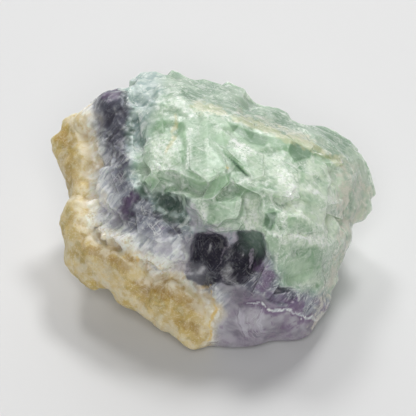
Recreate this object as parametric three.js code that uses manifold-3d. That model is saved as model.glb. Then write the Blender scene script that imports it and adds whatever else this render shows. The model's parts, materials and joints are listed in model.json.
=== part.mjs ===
// A rough fluorite freeform: one natural chunk, about 60 mm across, broken along its cleavage.
// Green fluorite makes the body, a dark purple band crosses it, and an ochre crust covers its left side.
// Units are millimetres, +Z is up, and the stone rests on the flat break at z = 0.
import * as THREE from "three";
import { ConvexGeometry } from "three/addons/geometries/ConvexGeometry.js";
import { ConvexHull } from "three/addons/math/ConvexHull.js";
import { mergeVertices } from "three/addons/utils/BufferGeometryUtils.js";
import Module from "manifold-3d";

const wasm = await Module();
wasm.setup();

// The display face is the broken face that the stone shows best. It leans back from the viewer.
const DISPLAY_LEAN = THREE.MathUtils.degToRad(42);
const DISPLAY_HEIGHT = 21;

// The heart of the stone: every lobe reaches back to it, and every break face looks away from it.
const HEART = new THREE.Vector3(0, 6, 13);
const INNER_PULL = 0.08;

// The lobes' corners are given where the outline shows them. The breaks take a little off them, which
// this size about the heart makes up for.
const LOBE_SIZE = 1.02;

// The stone rests on a flat break. A block this large cuts away everything below it.
const CUT_BLOCK = 200;

// Fluorite splits along four planes, the faces of an octahedron. The lattice is turned half-way between
// two of its axes, tilted so that one plane looks up and one looks out of the display face, and rolled.
const LATTICE_TURN = THREE.MathUtils.degToRad(45);
const LATTICE_TILT = THREE.MathUtils.degToRad(25);
const LATTICE_ROLL = THREE.MathUtils.degToRad(-12);

// The surface is a patchwork of flat break faces, each leaning towards the nearest cleavage plane.
const SEED = 41;
const FACE_TRIES = 30000;
const FACE_SPACING = { least: 2.1, most: 4.6 };
const FACE_LEAN = { least: 0, most: 0.6 };
const FACE_LEVEL = { least: -0.35, most: 0.2 };
const DEEPEST_BREAK = 1.1;
const HIGHEST_BREAK = 0.4;

// How far a break face may turn from the ray through it, and the least that is divided by, as cosines.
const STEEPEST_FACE = 0.3;
const EDGE_ON = 0.05;

// Neighbouring break faces meet in a ledge. Its width is this share of the way to the middle of each face.
const LEDGE_SHARE = 0.13;

// The ochre crust is granular: low rounded lumps instead of flat faces.
const LUMP_SPACING = { least: 2, most: 3.2 };
const LUMP_RISE = { least: 0.1, most: 0.5 };
// Between the lumps the crust dips by this share of their rise.
const LUMP_DIP = 0.5;

// The crystals that stand on the display face are rooted this deep in it.
const CRYSTAL_ROOT = 6;
// A hollow is cut from this far outside its mouth.
const MOUTH_REACH = 4;

// The inner edge of the crust on the display face, across and up. The crust lies to its left and below.
const CRUST_EDGE = [
  [-22.5, 40], [-22.5, 16], [-21.5, 9], [-24, 2],
  [-18.5, -6.5], [-8, -12.5], [0.5, -16.5], [0.5, -40],
];

// Corners this close are one corner, and short edges left by the joins are merged up to a longer length.
const SAME_CORNER = 1e-4;
const MERGE_LENGTH = 0.05;
const LAST_MERGE_LENGTH = 0.0125;

// A point given on the display face: across to the right, up the lean, and out towards the viewer.
const upTheLean = new THREE.Vector3(0, Math.sin(DISPLAY_LEAN), Math.cos(DISPLAY_LEAN));
const outOfFace = new THREE.Vector3(0, -Math.cos(DISPLAY_LEAN), Math.sin(DISPLAY_LEAN));

function onFace([across, up, out]) {
  return new THREE.Vector3(across, 0, DISPLAY_HEIGHT)
    .addScaledVector(upTheLean, up)
    .addScaledVector(outOfFace, out);
}

const inStone = ([x, y, z]) => new THREE.Vector3(x, y, z);

// The lobes that the display face shows, each by its corners. With the heart they make a convex hull.
const faceLobes = {
  backSlope: [
    [-16, 24, -12], [-11, 26, -13], [-9, 26.5, -13.5], [-6.5, 26, -14], [2, 25, -15.5],
    [4.5, 24, -15.5], [7, 23, -15], [9, 21, -14], [-14.5, 21.5, -6], [-5, 19.5, -1],
    [-0.5, 18, 0], [5, 16, 0],
  ],
  rightBack: [
    [10, 20, -12], [12.5, 20, -14], [14.5, 19, -14], [16, 18, -13.5], [18.5, 16.5, -13],
    [5, 16, 0], [10.5, 14.5, 0], [16.5, 12, 0],
  ],
  rightFlank: [
    [19.5, 16.5, -12.5], [24, 15.5, -14], [25.5, 14.5, -14], [29.5, 10.5, -14], [31, 9, -14],
    [32, 6.5, -14], [32, 2.5, -13.5], [31.5, -1, -12], [30, -2.5, -11], [16.5, 12, 0],
    [22, 10, -2], [25.5, 8, -4], [26.5, 5, -4.5], [25, 0.5, -2], [27, -4, -7],
  ],
  rightToe: [
    [27, -7, -8], [26, -9, -7], [25, -12, -6], [23, -15.5, -4], [22.5, -17.5, -4],
    [21.5, -20.5, -4], [19.5, -22.5, -3.5], [17.5, -23, -2.5], [24.5, -0.5, 0.5], [26, -4.5, -3],
    [21.5, -5, 6.5], [19.5, -10, 7], [20, -15.5, 3.5], [14, -15.5, 9],
  ],
  greenMass: [
    [-13.5, 19, -4], [-11, 20, -3], [-5, 19.5, -1], [-0.5, 18, 0.5], [10.5, 14.5, 0],
    [16.5, 12, 0.5], [21, 9, 0], [-12, 6.5, 6], [0, 4.5, 12], [7.5, 4, 12.5],
    [15, 1.5, 11.5], [20.5, 1.5, 6], [24.5, 4.5, 0],
  ],
  greenLedge: [
    [9.5, -5, 13.5], [10.5, -8.5, 13], [13.5, -8.5, 12.5], [15, -1.5, 12], [21.5, -5, 6.5],
    [19.5, -10, 7], [13, -15, 9.5], [19, -15, 4.5], [7.5, 3, 12.5], [22.5, 1.5, 4],
  ],
  greenNose: [
    [-2.5, 1.5, 11], [6.5, 2.5, 13], [7, -1.5, 13.5], [3.5, -4, 12.5], [-0.5, -3.5, 11.5],
    [-8, 3, 9],
  ],
  purpleShoulder: [
    [-22.5, 19.5, -12], [-21, 21.5, -12], [-19.5, 22.5, -11], [-17.5, 23, -11], [-14.5, 21.5, -6],
    [-14, 18, -2.5], [-15.5, 14, -0.5], [-21.5, 17, -8], [-22, 12.5, -7], [-20, 8, -2.5],
  ],
  purpleSlope: [
    [-20, 8, -2], [-14.5, 12.5, 2], [-12.5, 6.5, 5.5], [-10.5, 3, 7], [-18.5, -1.5, 3.5],
    [-22, 0.5, -0.5], [-15, -2.5, 5.5],
  ],
  whiteShelf: [
    [-22, -3, -0.5], [-19, -5.5, 3.5], [-13.5, -7.5, 6.5], [-10.5, -3.5, 8], [-3.5, -4.5, 10],
    [-3, -8.5, 9.5], [-5.5, -13, 7.5], [-10.5, -11.5, 6],
  ],
  crustTop: [
    [-26, 4, -10], [-27, 5.5, -11], [-28, 8, -12], [-29, 10.5, -13], [-30, 12.5, -14],
    [-29.5, 13.5, -14.5], [-28, 15.5, -14.5], [-26.5, 17, -14], [-24.5, 18.5, -13],
    [-22.5, 16.5, -9.5], [-21, 11, -6], [-22.5, 4.5, -5],
  ],
  crustMiddle: [
    [-26.5, 1.5, -8], [-27, 0, -7.5], [-28, -2.5, -7], [-27.5, -4, -6.5], [-22, 1.5, -3],
    [-21.5, -3, 0], [-22, -6, 0],
  ],
  crustLow: [
    [-26.5, -6, -5.5], [-26.5, -8, -5.5], [-25.5, -10.5, -5], [-24, -12, -4], [-19.5, -15, -2],
    [-14.5, -18, 0], [-14.5, -10, 5], [-20, -6, 2.5], [-10.5, -13, 5],
  ],
  crustToe: [
    [-13, -18.5, 0], [-12, -20, -0.5], [-10.5, -21.5, -0.5], [-8.5, -22.5, 0], [-7, -23.5, 0.5],
    [-5, -24.5, 1], [-3.5, -26, 1], [-1, -25.5, 1], [1.5, -24.5, 2.5], [0.5, -18.5, 5.5],
    [-5, -13.5, 7], [-10.5, -15, 4.5],
  ],
  purpleToe: [
    [-1, -25.5, 1], [4, -25.5, 0.5], [7, -26, 0.5], [10, -25.5, 0], [13.5, -24.5, -1],
    [17.5, -23, -2.5], [1.5, -15, 7], [6, -17.5, 7.5], [11.5, -16.5, 8], [16, -17, 6.5],
  ],
};

// The inner body under the display face, which the lobes stand out of by a millimetre or three.
const innerBody = [
  [-12, 19, -5], [0, 17, -1.5], [10, 13.5, -1.5], [18, 10, -2.5],
  [-10, 24, -14], [2, 23.5, -16], [13, 18, -15], [23, 13, -14],
  [-20, 15, -10], [-21, 4, -6.5], [-20, -5, -3], [-14, -14.5, -0.5],
  [-14, 5, 3], [-12, -5, 5], [0, 3, 9.5], [8, 2, 10.5], [13, -3, 10], [18, 0, 5.5],
  [-6, -21, 1.5], [4, -23.5, 1], [14, -21, 0.5], [20, -16, -2],
  [3, -13, 5], [10, -13, 7], [16, -12, 5], [23, -5, -2], [26, 4, -8],
];

// The lobes away from the display face, given in the stone's own x, y and z.
const hiddenLobes = {
  foot: [
    [-12, -5, -2], [2, -11, -2], [12, -9, -2], [18, -1, -2], [16, 11, -2], [7, 17, -2],
    [-6, 17, -2], [-15, 7, -2], [-20, 8, 8], [24, 8, 8], [0, 25, 8],
  ],
  backWall: [
    [-12, 27, 25], [-15, 25, 13], [0, 30, 21], [8, 28, 18], [3, 28, 9], [14, 24, 18],
    [17, 24, 9], [-7, 24, 4],
  ],
  leftBack: [
    [-21, 17, 26], [-26, 17, 18], [-24, 10, 10], [-20, 21, 12], [-14, 25, 20], [-22, 0, 10],
    [-16, 16, 3],
  ],
  leftFlank: [
    [-27, 20, 17], [-24.5, 12, 14], [-25, 5, 11.5], [-23.5, -1, 8.5], [-16, -6, 6], [-18, 2, 3],
    [-20, 11, 5], [-17, 19, 8], [-23, 23, 16],
  ],
  rightBackLow: [
    [29, 15, 12], [24, 20, 8], [27, 6, 8], [20, 13, 2.5], [18, 22, 8], [21, 3, 3], [28, 14, 18],
  ],
};

// Crystals that show on the display face, by the corners of their faces.
const crystals = {
  wedge: [
    [0, 17.5, 1.5], [-2, 13.5, 4.5], [-3, 7.5, 9.5], [0, 4.5, 14], [3.5, 7, 11.5],
    [1, 11, 7], [0, 16, 3],
  ],
  wedgeLeftFoot: [[-3.5, 7, 9.5], [-0.5, 4.5, 13], [-0.5, 3.5, 10], [-3, 3, 8.5], [-4, 5.5, 10]],
  wedgeRightFoot: [[3.5, 6.5, 11.5], [4, 4.5, 13], [1.5, 2, 12.5], [-1.5, 1.5, 11.5], [0, 4, 11.5]],
  sugaryBlock: [
    [-11, 13, 2.5], [-7.5, 14, 3.5], [-5, 10.5, 7], [-5.5, 6.5, 9.5], [-10.5, 6.5, 8],
    [-12.5, 9, 3.5], [-10.5, 10, 5.5],
  ],
  smallRhomb: [[-12, 5, 6.5], [-10, 7, 8], [-9, 5, 6.5], [-10.5, 3, 7.5]],
  sparkleRidge: [[-4.5, 15.5, 3], [-3.5, 12.5, 6], [-3.5, 7.5, 9.5], [-4.5, 7.5, 9], [-5, 12.5, 5]],
  window: [[0.5, 13.5, 5], [2.5, 14.5, 4], [5, 12.5, 5.5], [3.5, 10.5, 7.5], [1.5, 11, 7]],
  crackBlock: [
    [2, 11, 7], [5, 11.5, 7.5], [7.5, 10.5, 7], [10, 8.5, 8], [10, 5.5, 11.5],
    [8, 5.5, 12.5], [6, 7.5, 11],
  ],
  frostBlock: [
    [10, 10, 5.5], [13, 9.5, 5.5], [16, 6, 8], [16.5, 4, 9.5], [15, 1.5, 12],
    [11, 2, 12], [10, 5.5, 11],
  ],
  frontPlate: [[4.5, 4.5, 12.5], [7.5, 5.5, 12], [11.5, 4.5, 11], [9.5, 2, 13], [6, 3, 10.5]],
  crestLeft: [[-11, 20, -2], [-7.5, 20.5, -2], [-3.5, 19.5, -0.5], [-3.5, 17.5, 1.5], [-7, 18, 0]],
  crestMiddle: [[-0.5, 18, 0.5], [3.5, 17.5, -0.5], [8, 16, -0.5], [10, 14.5, 1], [5, 15, 2]],
  crestRight: [[11.5, 14, 1], [15, 13, 0.5], [20, 10.5, 0], [22.5, 9.5, -1.5], [17, 10.5, 2]],
  flankStep: [
    [17, 7.5, 5], [20, 6.5, 3.5], [24, 4, -1], [25, 0.5, -1], [21, 0, 7.5], [17, 2, 10],
  ],
  triangle: [[13.5, -1, 13.5], [17, -1, 11.5], [21.5, -4.5, 7], [18, -5, 10], [14, -6, 13]],
  frostyRidge: [
    [13.5, -4.5, 13.5], [16.5, -5, 12], [21.5, -7.5, 6], [20, -8.5, 7.5], [15, -7, 12],
  ],
  greenKnob: [
    [9.5, -5.5, 13.5], [11.5, -4.5, 14], [13.5, -6, 13.5], [13, -8.5, 13], [10.5, -8.5, 12.5],
  ],
};

// Hollows in the display face, each by the corners of its mouth and then of its floor.
const hollows = {
  darkLeft: {
    mouth: [
      [-3, -5, 11], [3.5, -4.5, 12.5], [3.5, -9, 9], [2, -13.5, 7.5], [-3.5, -13, 7.5],
      [-4.5, -9, 9.5],
    ],
    floor: [[-0.5, -6, 5], [1.5, -6.5, 4.5], [0, -9.5, 4.5]],
  },
  darkRight: {
    mouth: [
      [4, -5.5, 12.5], [10.5, -6, 13], [11, -9, 12.5], [7.5, -13.5, 8], [3, -13.5, 7.5],
      [4.5, -9, 9],
    ],
    floor: [[6, -6.5, 5.5], [8, -7.5, 6], [6.5, -9.5, 4.5]],
  },
  greenBlack: {
    mouth: [[-10, 3, 8], [-4.5, 3, 10], [-4, -0.5, 10.5], [-7, -1.5, 9], [-10.5, 0, 7]],
    floor: [[-8, 1.5, 5.5], [-6.5, 1, 5.5]],
  },
  slit: {
    mouth: [[-8.5, -3.5, 8], [-4.5, -4, 10], [-4.5, -5, 10], [-8, -5, 8]],
    floor: [[-7, -4, 6], [-5.5, -4.5, 6.5]],
  },
};

// A closed geometry as a solid that can be joined and cut.
function solidOf(geometry, mergeLength = SAME_CORNER) {
  const bare = geometry.index ? geometry.toNonIndexed() : geometry.clone();
  bare.deleteAttribute("normal");
  bare.deleteAttribute("uv");
  const merged = mergeVertices(bare, mergeLength);
  return new wasm.Manifold(new wasm.Mesh({
    numProp: 3,
    vertProperties: new Float32Array(merged.attributes.position.array),
    triVerts: new Uint32Array(merged.index.array),
  }));
}

function geometryOf(solid) {
  const { numProp, vertProperties, triVerts } = solid.getMesh();
  const positions = new Float32Array(triVerts.length * 3);
  triVerts.forEach((vertex, i) => {
    const start = vertex * numProp;
    positions.set(vertProperties.subarray(start, start + 3), i * 3);
  });
  return new THREE.BufferGeometry()
    .setAttribute("position", new THREE.BufferAttribute(positions, 3));
}

const hullOf = (points) => solidOf(new ConvexGeometry(points));

const joined = (solids) => solids.reduce((whole, piece) => whole.add(piece));

const random = () => THREE.MathUtils.seededRandom();

const between = ({ least, most }) => THREE.MathUtils.lerp(least, most, random());

// The four cleavage planes' normals, both ways.
function latticeNormals() {
  const toStone = new THREE.Matrix4().makeBasis(new THREE.Vector3(1, 0, 0), upTheLean, outOfFace);
  const roll = new THREE.Matrix4().makeRotationZ(LATTICE_ROLL);
  const tilt = new THREE.Matrix4().makeRotationX(-LATTICE_TILT);
  const turn = new THREE.Matrix4().makeRotationY(LATTICE_TURN);
  const lattice = toStone.multiply(roll).multiply(tilt).multiply(turn);
  const ways = [-1, 1];
  return ways.flatMap((x) => ways.flatMap((y) => ways.map((z) => new THREE.Vector3(x, y, z))))
    .map((axis) => axis.normalize().transformDirection(lattice));
}

const cleavage = latticeNormals();

const facesOf = (hull) => hull.faces.map(({ normal, constant }) => ({ normal, level: constant }));

// The flat sides of every lobe, measured from the heart.
function lobeSides() {
  const elsewhere = Object.values(hiddenLobes).map((corners) => corners.map(inStone));
  const pulledIn = elsewhere.flat().map((corner) => corner.clone().lerp(HEART, INNER_PULL));
  const inner = [...innerBody.map(onFace), ...pulledIn];
  const shown = Object.values(faceLobes).map((corners) => corners.map(onFace));
  return [inner, ...shown, ...elsewhere].map((corners) => {
    const fromHeart = [...corners, HEART].map((corner) => corner.clone().sub(HEART));
    fromHeart.forEach((corner) => corner.multiplyScalar(LOBE_SIZE));
    return facesOf(new ConvexHull().setFromPoints(fromHeart));
  });
}

const sides = lobeSides();

// Where a ray from the heart leaves the lobes: its length, and the way the stone faces there.
function bodyAlong(direction) {
  return sides.reduce((farthest, lobe) => {
    const leaving = lobe.reduce((nearest, { normal, level }) => {
      const towards = normal.dot(direction);
      const length = towards > 0 ? level / towards : Infinity;
      return length < nearest.length ? { length, normal } : nearest;
    }, { length: Infinity });
    return leaving.length > farthest.length ? leaving : farthest;
  }, { length: 0 });
}

// Whether a point of the stone, seen square to the display face, lies past the crust's inner edge.
function isCrust(point) {
  const up = point.clone().setZ(point.z - DISPLAY_HEIGHT).dot(upTheLean);
  const next = Math.max(CRUST_EDGE.findIndex(([, edgeUp]) => edgeUp <= up), 1);
  const [upperAcross, upper] = CRUST_EDGE[next - 1];
  const [lowerAcross, lower] = CRUST_EDGE[next];
  return point.x < THREE.MathUtils.mapLinear(up, upper, lower, upperAcross, lowerAcross);
}

function randomDirection() {
  const height = random() * 2 - 1;
  const around = random() * Math.PI * 2;
  const ring = Math.sqrt(1 - height * height);
  return new THREE.Vector3(ring * Math.cos(around), ring * Math.sin(around), height);
}

// The middle points of the break faces, spread over the body, each with its own room around it.
function faceMiddles() {
  const middles = [];
  for (let i = 0; i < FACE_TRIES; i += 1) {
    const direction = randomDirection();
    const { length, normal } = bodyAlong(direction);
    const point = direction.clone().multiplyScalar(length);
    const crust = isCrust(point.clone().add(HEART));
    const spacing = between(crust ? LUMP_SPACING : FACE_SPACING);
    const clear = (other) => other.point.distanceTo(point) > Math.max(spacing, other.spacing);
    if (middles.every(clear)) middles.push({ direction, point, normal, crust, spacing });
  }
  return middles;
}

// The plane of a break face: out of the surface, leaning towards the nearest cleavage plane.
function breakPlane({ direction, point, normal, crust }) {
  if (crust) return { normal, level: normal.dot(point), middleRise: between(LUMP_RISE) };
  const [nearest] = cleavage.toSorted((a, b) => b.dot(normal) - a.dot(normal));
  const leaning = normal.clone().lerp(nearest, between(FACE_LEAN)).normalize();
  const facing = leaning.dot(direction) > STEEPEST_FACE ? leaning : normal;
  const middle = point.clone().addScaledVector(normal, between(FACE_LEVEL));
  return { normal: facing, level: facing.dot(middle), middleRise: 0 };
}

// A point of a break face along a direction, kept close under the body's own surface.
function onBreak(plane, direction, rise) {
  const body = bodyAlong(direction).length;
  const towards = Math.max(plane.normal.dot(direction), EDGE_ON);
  const highest = body + HIGHEST_BREAK + Math.max(rise, 0);
  const length = THREE.MathUtils.clamp(plane.level / towards + rise, body - DEEPEST_BREAK, highest);
  return direction.clone().multiplyScalar(length).add(HEART);
}

const trianglesOf = (hull) => hull.faces.map((face) => {
  const [a, b, c] = [0, 1, 2].map((i) => face.getEdge(i).head().point);
  return [a, b, c];
});

// The patchwork of break faces. The faces' middles are joined into triangles over the sphere of
// directions; where three faces meet, each keeps its own corner, and the gap between them is the ledge.
function brokenSurface() {
  const middles = faceMiddles();
  const planes = new Map(middles.map((middle) => [middle.direction, breakPlane(middle)]));
  const surface = new Map();
  planes.forEach((plane, direction) => {
    surface.set(direction, onBreak(plane, direction, plane.middleRise));
  });
  trianglesOf(new ConvexHull().setFromPoints([...planes.keys()])).forEach((around) => {
    const meeting = new THREE.Triangle(...around).getNormal(new THREE.Vector3());
    around.forEach((middle) => {
      const corner = meeting.clone().lerp(middle, LEDGE_SHARE).normalize();
      const plane = planes.get(middle);
      surface.set(corner, onBreak(plane, corner, -plane.middleRise * LUMP_DIP));
    });
  });
  const corners = trianglesOf(new ConvexHull().setFromPoints([...surface.keys()])).flat();
  return new THREE.BufferGeometry().setFromPoints(corners.map((direction) => surface.get(direction)));
}

// A crystal by its face corners: the same corners again, pushed in, make its root.
function crystalAt(corners) {
  const rooted = corners.map(([across, up, out]) => [across, up, out - CRYSTAL_ROOT]);
  return hullOf([...corners, ...rooted].map(onFace));
}

// A hollow: its mouth carried clear of the surface, narrowing to its floor.
function hollowAt({ mouth, floor }) {
  const outside = mouth.map(([across, up, out]) => [across, up, out + MOUTH_REACH]);
  return hullOf([...outside, ...mouth, ...floor].map(onFace));
}

function cutFlatBase(solid) {
  const below = new THREE.BoxGeometry(CUT_BLOCK, CUT_BLOCK, CUT_BLOCK);
  below.translate(0, 0, -CUT_BLOCK / 2);
  return solid.subtract(solidOf(below));
}

// The stone itself, without loose chips and with sealed hollows filled.
function outerBody(solid) {
  const [largest] = solid.decompose().toSorted((a, b) => b.volume() - a.volume());
  return largest;
}

function fluoriteStone() {
  THREE.MathUtils.seededRandom(SEED);
  const body = solidOf(brokenSurface());
  const standing = Object.values(crystals).map(crystalAt);
  const cut = Object.values(hollows).map(hollowAt);
  const stone = joined([body, ...standing]).subtract(joined(cut));
  const settled = outerBody(cutFlatBase(stone).simplify(MERGE_LENGTH));
  return outerBody(solidOf(geometryOf(settled), LAST_MERGE_LENGTH));
}

// The origin is under the middle of the stone, on the surface it rests on.
const geometry = geometryOf(fluoriteStone());
geometry.computeBoundingBox();
const middle = geometry.boundingBox.getCenter(new THREE.Vector3());
geometry.translate(-middle.x, -middle.y, 0);
geometry.computeVertexNormals();

const fluorite = new THREE.Mesh(
  geometry,
  new THREE.MeshStandardMaterial({ color: 0xa3bfa5, roughness: 0.45, metalness: 0 }),
);
fluorite.name = "fluorite";

const part = new THREE.Group();
part.add(fluorite);

export default part;
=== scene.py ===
"""Looks of a rough fluorite freeform: its broken skin, its colour zones, and a plain pale studio."""
import itertools
import json
import math

import bmesh
import bpy
import numpy as np
from mathutils import Matrix, Vector, noise
from mathutils.bvhtree import BVHTree

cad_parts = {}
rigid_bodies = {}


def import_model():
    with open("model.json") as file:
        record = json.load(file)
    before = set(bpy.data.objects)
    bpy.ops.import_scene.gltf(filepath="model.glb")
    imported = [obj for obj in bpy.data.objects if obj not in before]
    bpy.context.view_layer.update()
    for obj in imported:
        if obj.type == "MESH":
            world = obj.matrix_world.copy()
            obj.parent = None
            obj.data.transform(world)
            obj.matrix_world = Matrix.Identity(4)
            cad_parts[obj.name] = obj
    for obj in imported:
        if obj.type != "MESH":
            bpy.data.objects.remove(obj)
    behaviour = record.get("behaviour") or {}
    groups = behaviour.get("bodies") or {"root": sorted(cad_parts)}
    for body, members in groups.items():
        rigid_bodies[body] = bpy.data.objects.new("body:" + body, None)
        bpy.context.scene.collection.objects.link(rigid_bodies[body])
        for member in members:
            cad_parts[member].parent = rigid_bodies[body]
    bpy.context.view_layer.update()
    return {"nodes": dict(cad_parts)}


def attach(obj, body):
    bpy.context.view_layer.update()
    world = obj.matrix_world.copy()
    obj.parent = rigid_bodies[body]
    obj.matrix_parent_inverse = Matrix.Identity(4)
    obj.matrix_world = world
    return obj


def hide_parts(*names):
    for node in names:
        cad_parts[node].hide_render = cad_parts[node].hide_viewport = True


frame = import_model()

MM = 0.001

# The display face, which leans back from the camera. Places on it are given in millimetres: across to
# the right, up the lean, and out towards the camera, all from its middle.
LEAN = math.radians(42)
DISPLAY_MIDDLE = np.array([-1.08, -5.83, 21.0])
ACROSS = np.array([1.0, 0.0, 0.0])
UP = np.array([0.0, math.sin(LEAN), math.cos(LEAN)])
OUT = np.array([0.0, -math.cos(LEAN), math.sin(LEAN)])

# The camera looks square at the display face. Nearer than NEAREST_SEEN, in metres, it sees nothing.
CAMERA_DISTANCE = 500.0
VIEW_WIDTH = 76.96
SENSOR_WIDTH = 36.0
NEAREST_SEEN = 0.01

# Soft round lamps: azimuth from straight behind towards the right, elevation, width in metres, and watts.
LAMPS = {
    "back_right_window": (22, 57, 0.3, 7.2),
    "back_left_window": (-25, 55, 0.3, 4.4),
    "low_back_window": (0, 30, 1.2, 6.4),
    "front_window": (180, 45, 0.7, 9.0),
}
LAMP_DISTANCE = 1.35
LAMP_AIM = Vector((0.0, 0.0, 0.015))
SKY = 0.12
FLOOR_HALF_WIDTH = 1.5
FLOOR_GREY = 0.66
FLOOR_ROUGHNESS = 0.7

# The cleavage lattice, turned, tilted and rolled in the display face's frame.
LATTICE_TURN = math.radians(45)
LATTICE_TILT = math.radians(25)
LATTICE_ROLL = math.radians(-12)

# The ways that the streaks in the purple and white bands and the pale veins in the green run.
STREAK_WAY = 0.67 * ACROSS + 0.73 * UP + 0.15 * OUT
VEIN_WAY = 0.82 * ACROSS - 0.57 * UP + 0.1 * OUT

# The seed of everything random. Then the fineness of the rough form and of the finished skin, and how far
# parts of them are drawn in or swollen, in millimetres, and how many rounds they are smoothed for.
SEED = 7
FORM_VOXEL = 0.36
FORM_ROUNDS = 6
FORM_INSET = 0.35
CRUST_ROUNDS = 60
CRUST_SWELL = 0.8
TOE_ROUNDS = 30
TOE_SWELL = 0.5
VOXEL = 0.3
CRACK_DEPTH = 0.12
LATE_TOE_ROUNDS = 26
MOST_TRIANGLES = 192000
BUMP_HEIGHT = 0.1

# Fluorite bends light by this much. Its cloudy inside spreads light over a few millimetres.
FLUORITE_IOR = 1.434
GLOW_REACH = 3.0
GLOW_SHARES = (1.0, 1.1, 0.9)

# Inner edges of the ochre crust, the white band, the purple band and the teal band, from top to bottom,
# and the edge where the display face turns to the back slope and the right flank.
CRUST_EDGE = [
    (-26, 40), (-24, 19), (-23.1, 15.9), (-21.8, 10.7), (-21.5, 8.3), (-22.4, 5.2), (-22.4, 0.6),
    (-22.9, -3.1), (-20.5, -5.9), (-17.8, -7.4), (-14.8, -8.1), (-12.6, -10), (-10.7, -12.4), (-8, -12.8),
    (-5.2, -13.3), (-2.4, -15.5), (-0.6, -17), (0.6, -20.7), (0.6, -45),
]
WHITE_EDGE = [
    (-23, 40), (-21.6, 20.4), (-20.6, 17.2), (-20, 12.6), (-18.6, 9.8), (-18.2, 6.1), (-17.4, 2.4),
    (-16.8, -0.7), (-15.9, -2.6), (-14.8, -3.5), (-13.5, -4.4), (-10.7, -5.6), (-8, -5.6), (-4.3, -5.9),
    (-3, -8.7), (-3.7, -11.1), (-2.4, -14.1), (1.3, -15.5), (3.7, -16.1), (2.6, -19.8), (1.3, -23.5),
    (0.9, -45),
]
PURPLE_EDGE = [
    (-17.5, 40), (-16.7, 22.8), (-15, 20.9), (-14.4, 18.1), (-15.5, 14.4), (-14.8, 10.7), (-14.2, 8.9),
    (-15, 6.1), (-13.9, 3.3), (-12.2, 2.4), (-10.7, 1.5), (-9.6, -0.7), (-7, -2.6), (-4.3, -3.7),
    (-3, -4.4), (0.7, -4.1), (5.9, -5.6), (10, -7.8), (11.1, -9.3), (12, -10), (13.3, -14.2), (17, -15.5),
    (20.4, -16.3), (40, -19),
]
TEAL_EDGE = [
    (-10.7, 40), (-8.5, 21.8), (-9.3, 19.1), (-10.7, 16.3), (-11.5, 12.6), (-13, 9.8), (-13.3, 6.7),
    (-12.6, 4.3), (-9.8, 2.8), (-6.1, 2.4), (-3, 0.6), (-2, -2.6), (0.7, -3.7), (5.9, -5.2), (10, -7),
    (12.4, -10), (13.9, -14.2), (17, -15.2), (40, -18),
]
BACK_EDGE = [
    (-14.4, 21.5), (-7, 20.9), (-1.5, 19.1), (4.1, 16.7), (10, 14.1), (17, 12.2), (25.5, 7.8),
    (24.8, 1.9), (25.9, -4.3), (24, -10.9), (22, -17.2), (20, -25),
]

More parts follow.
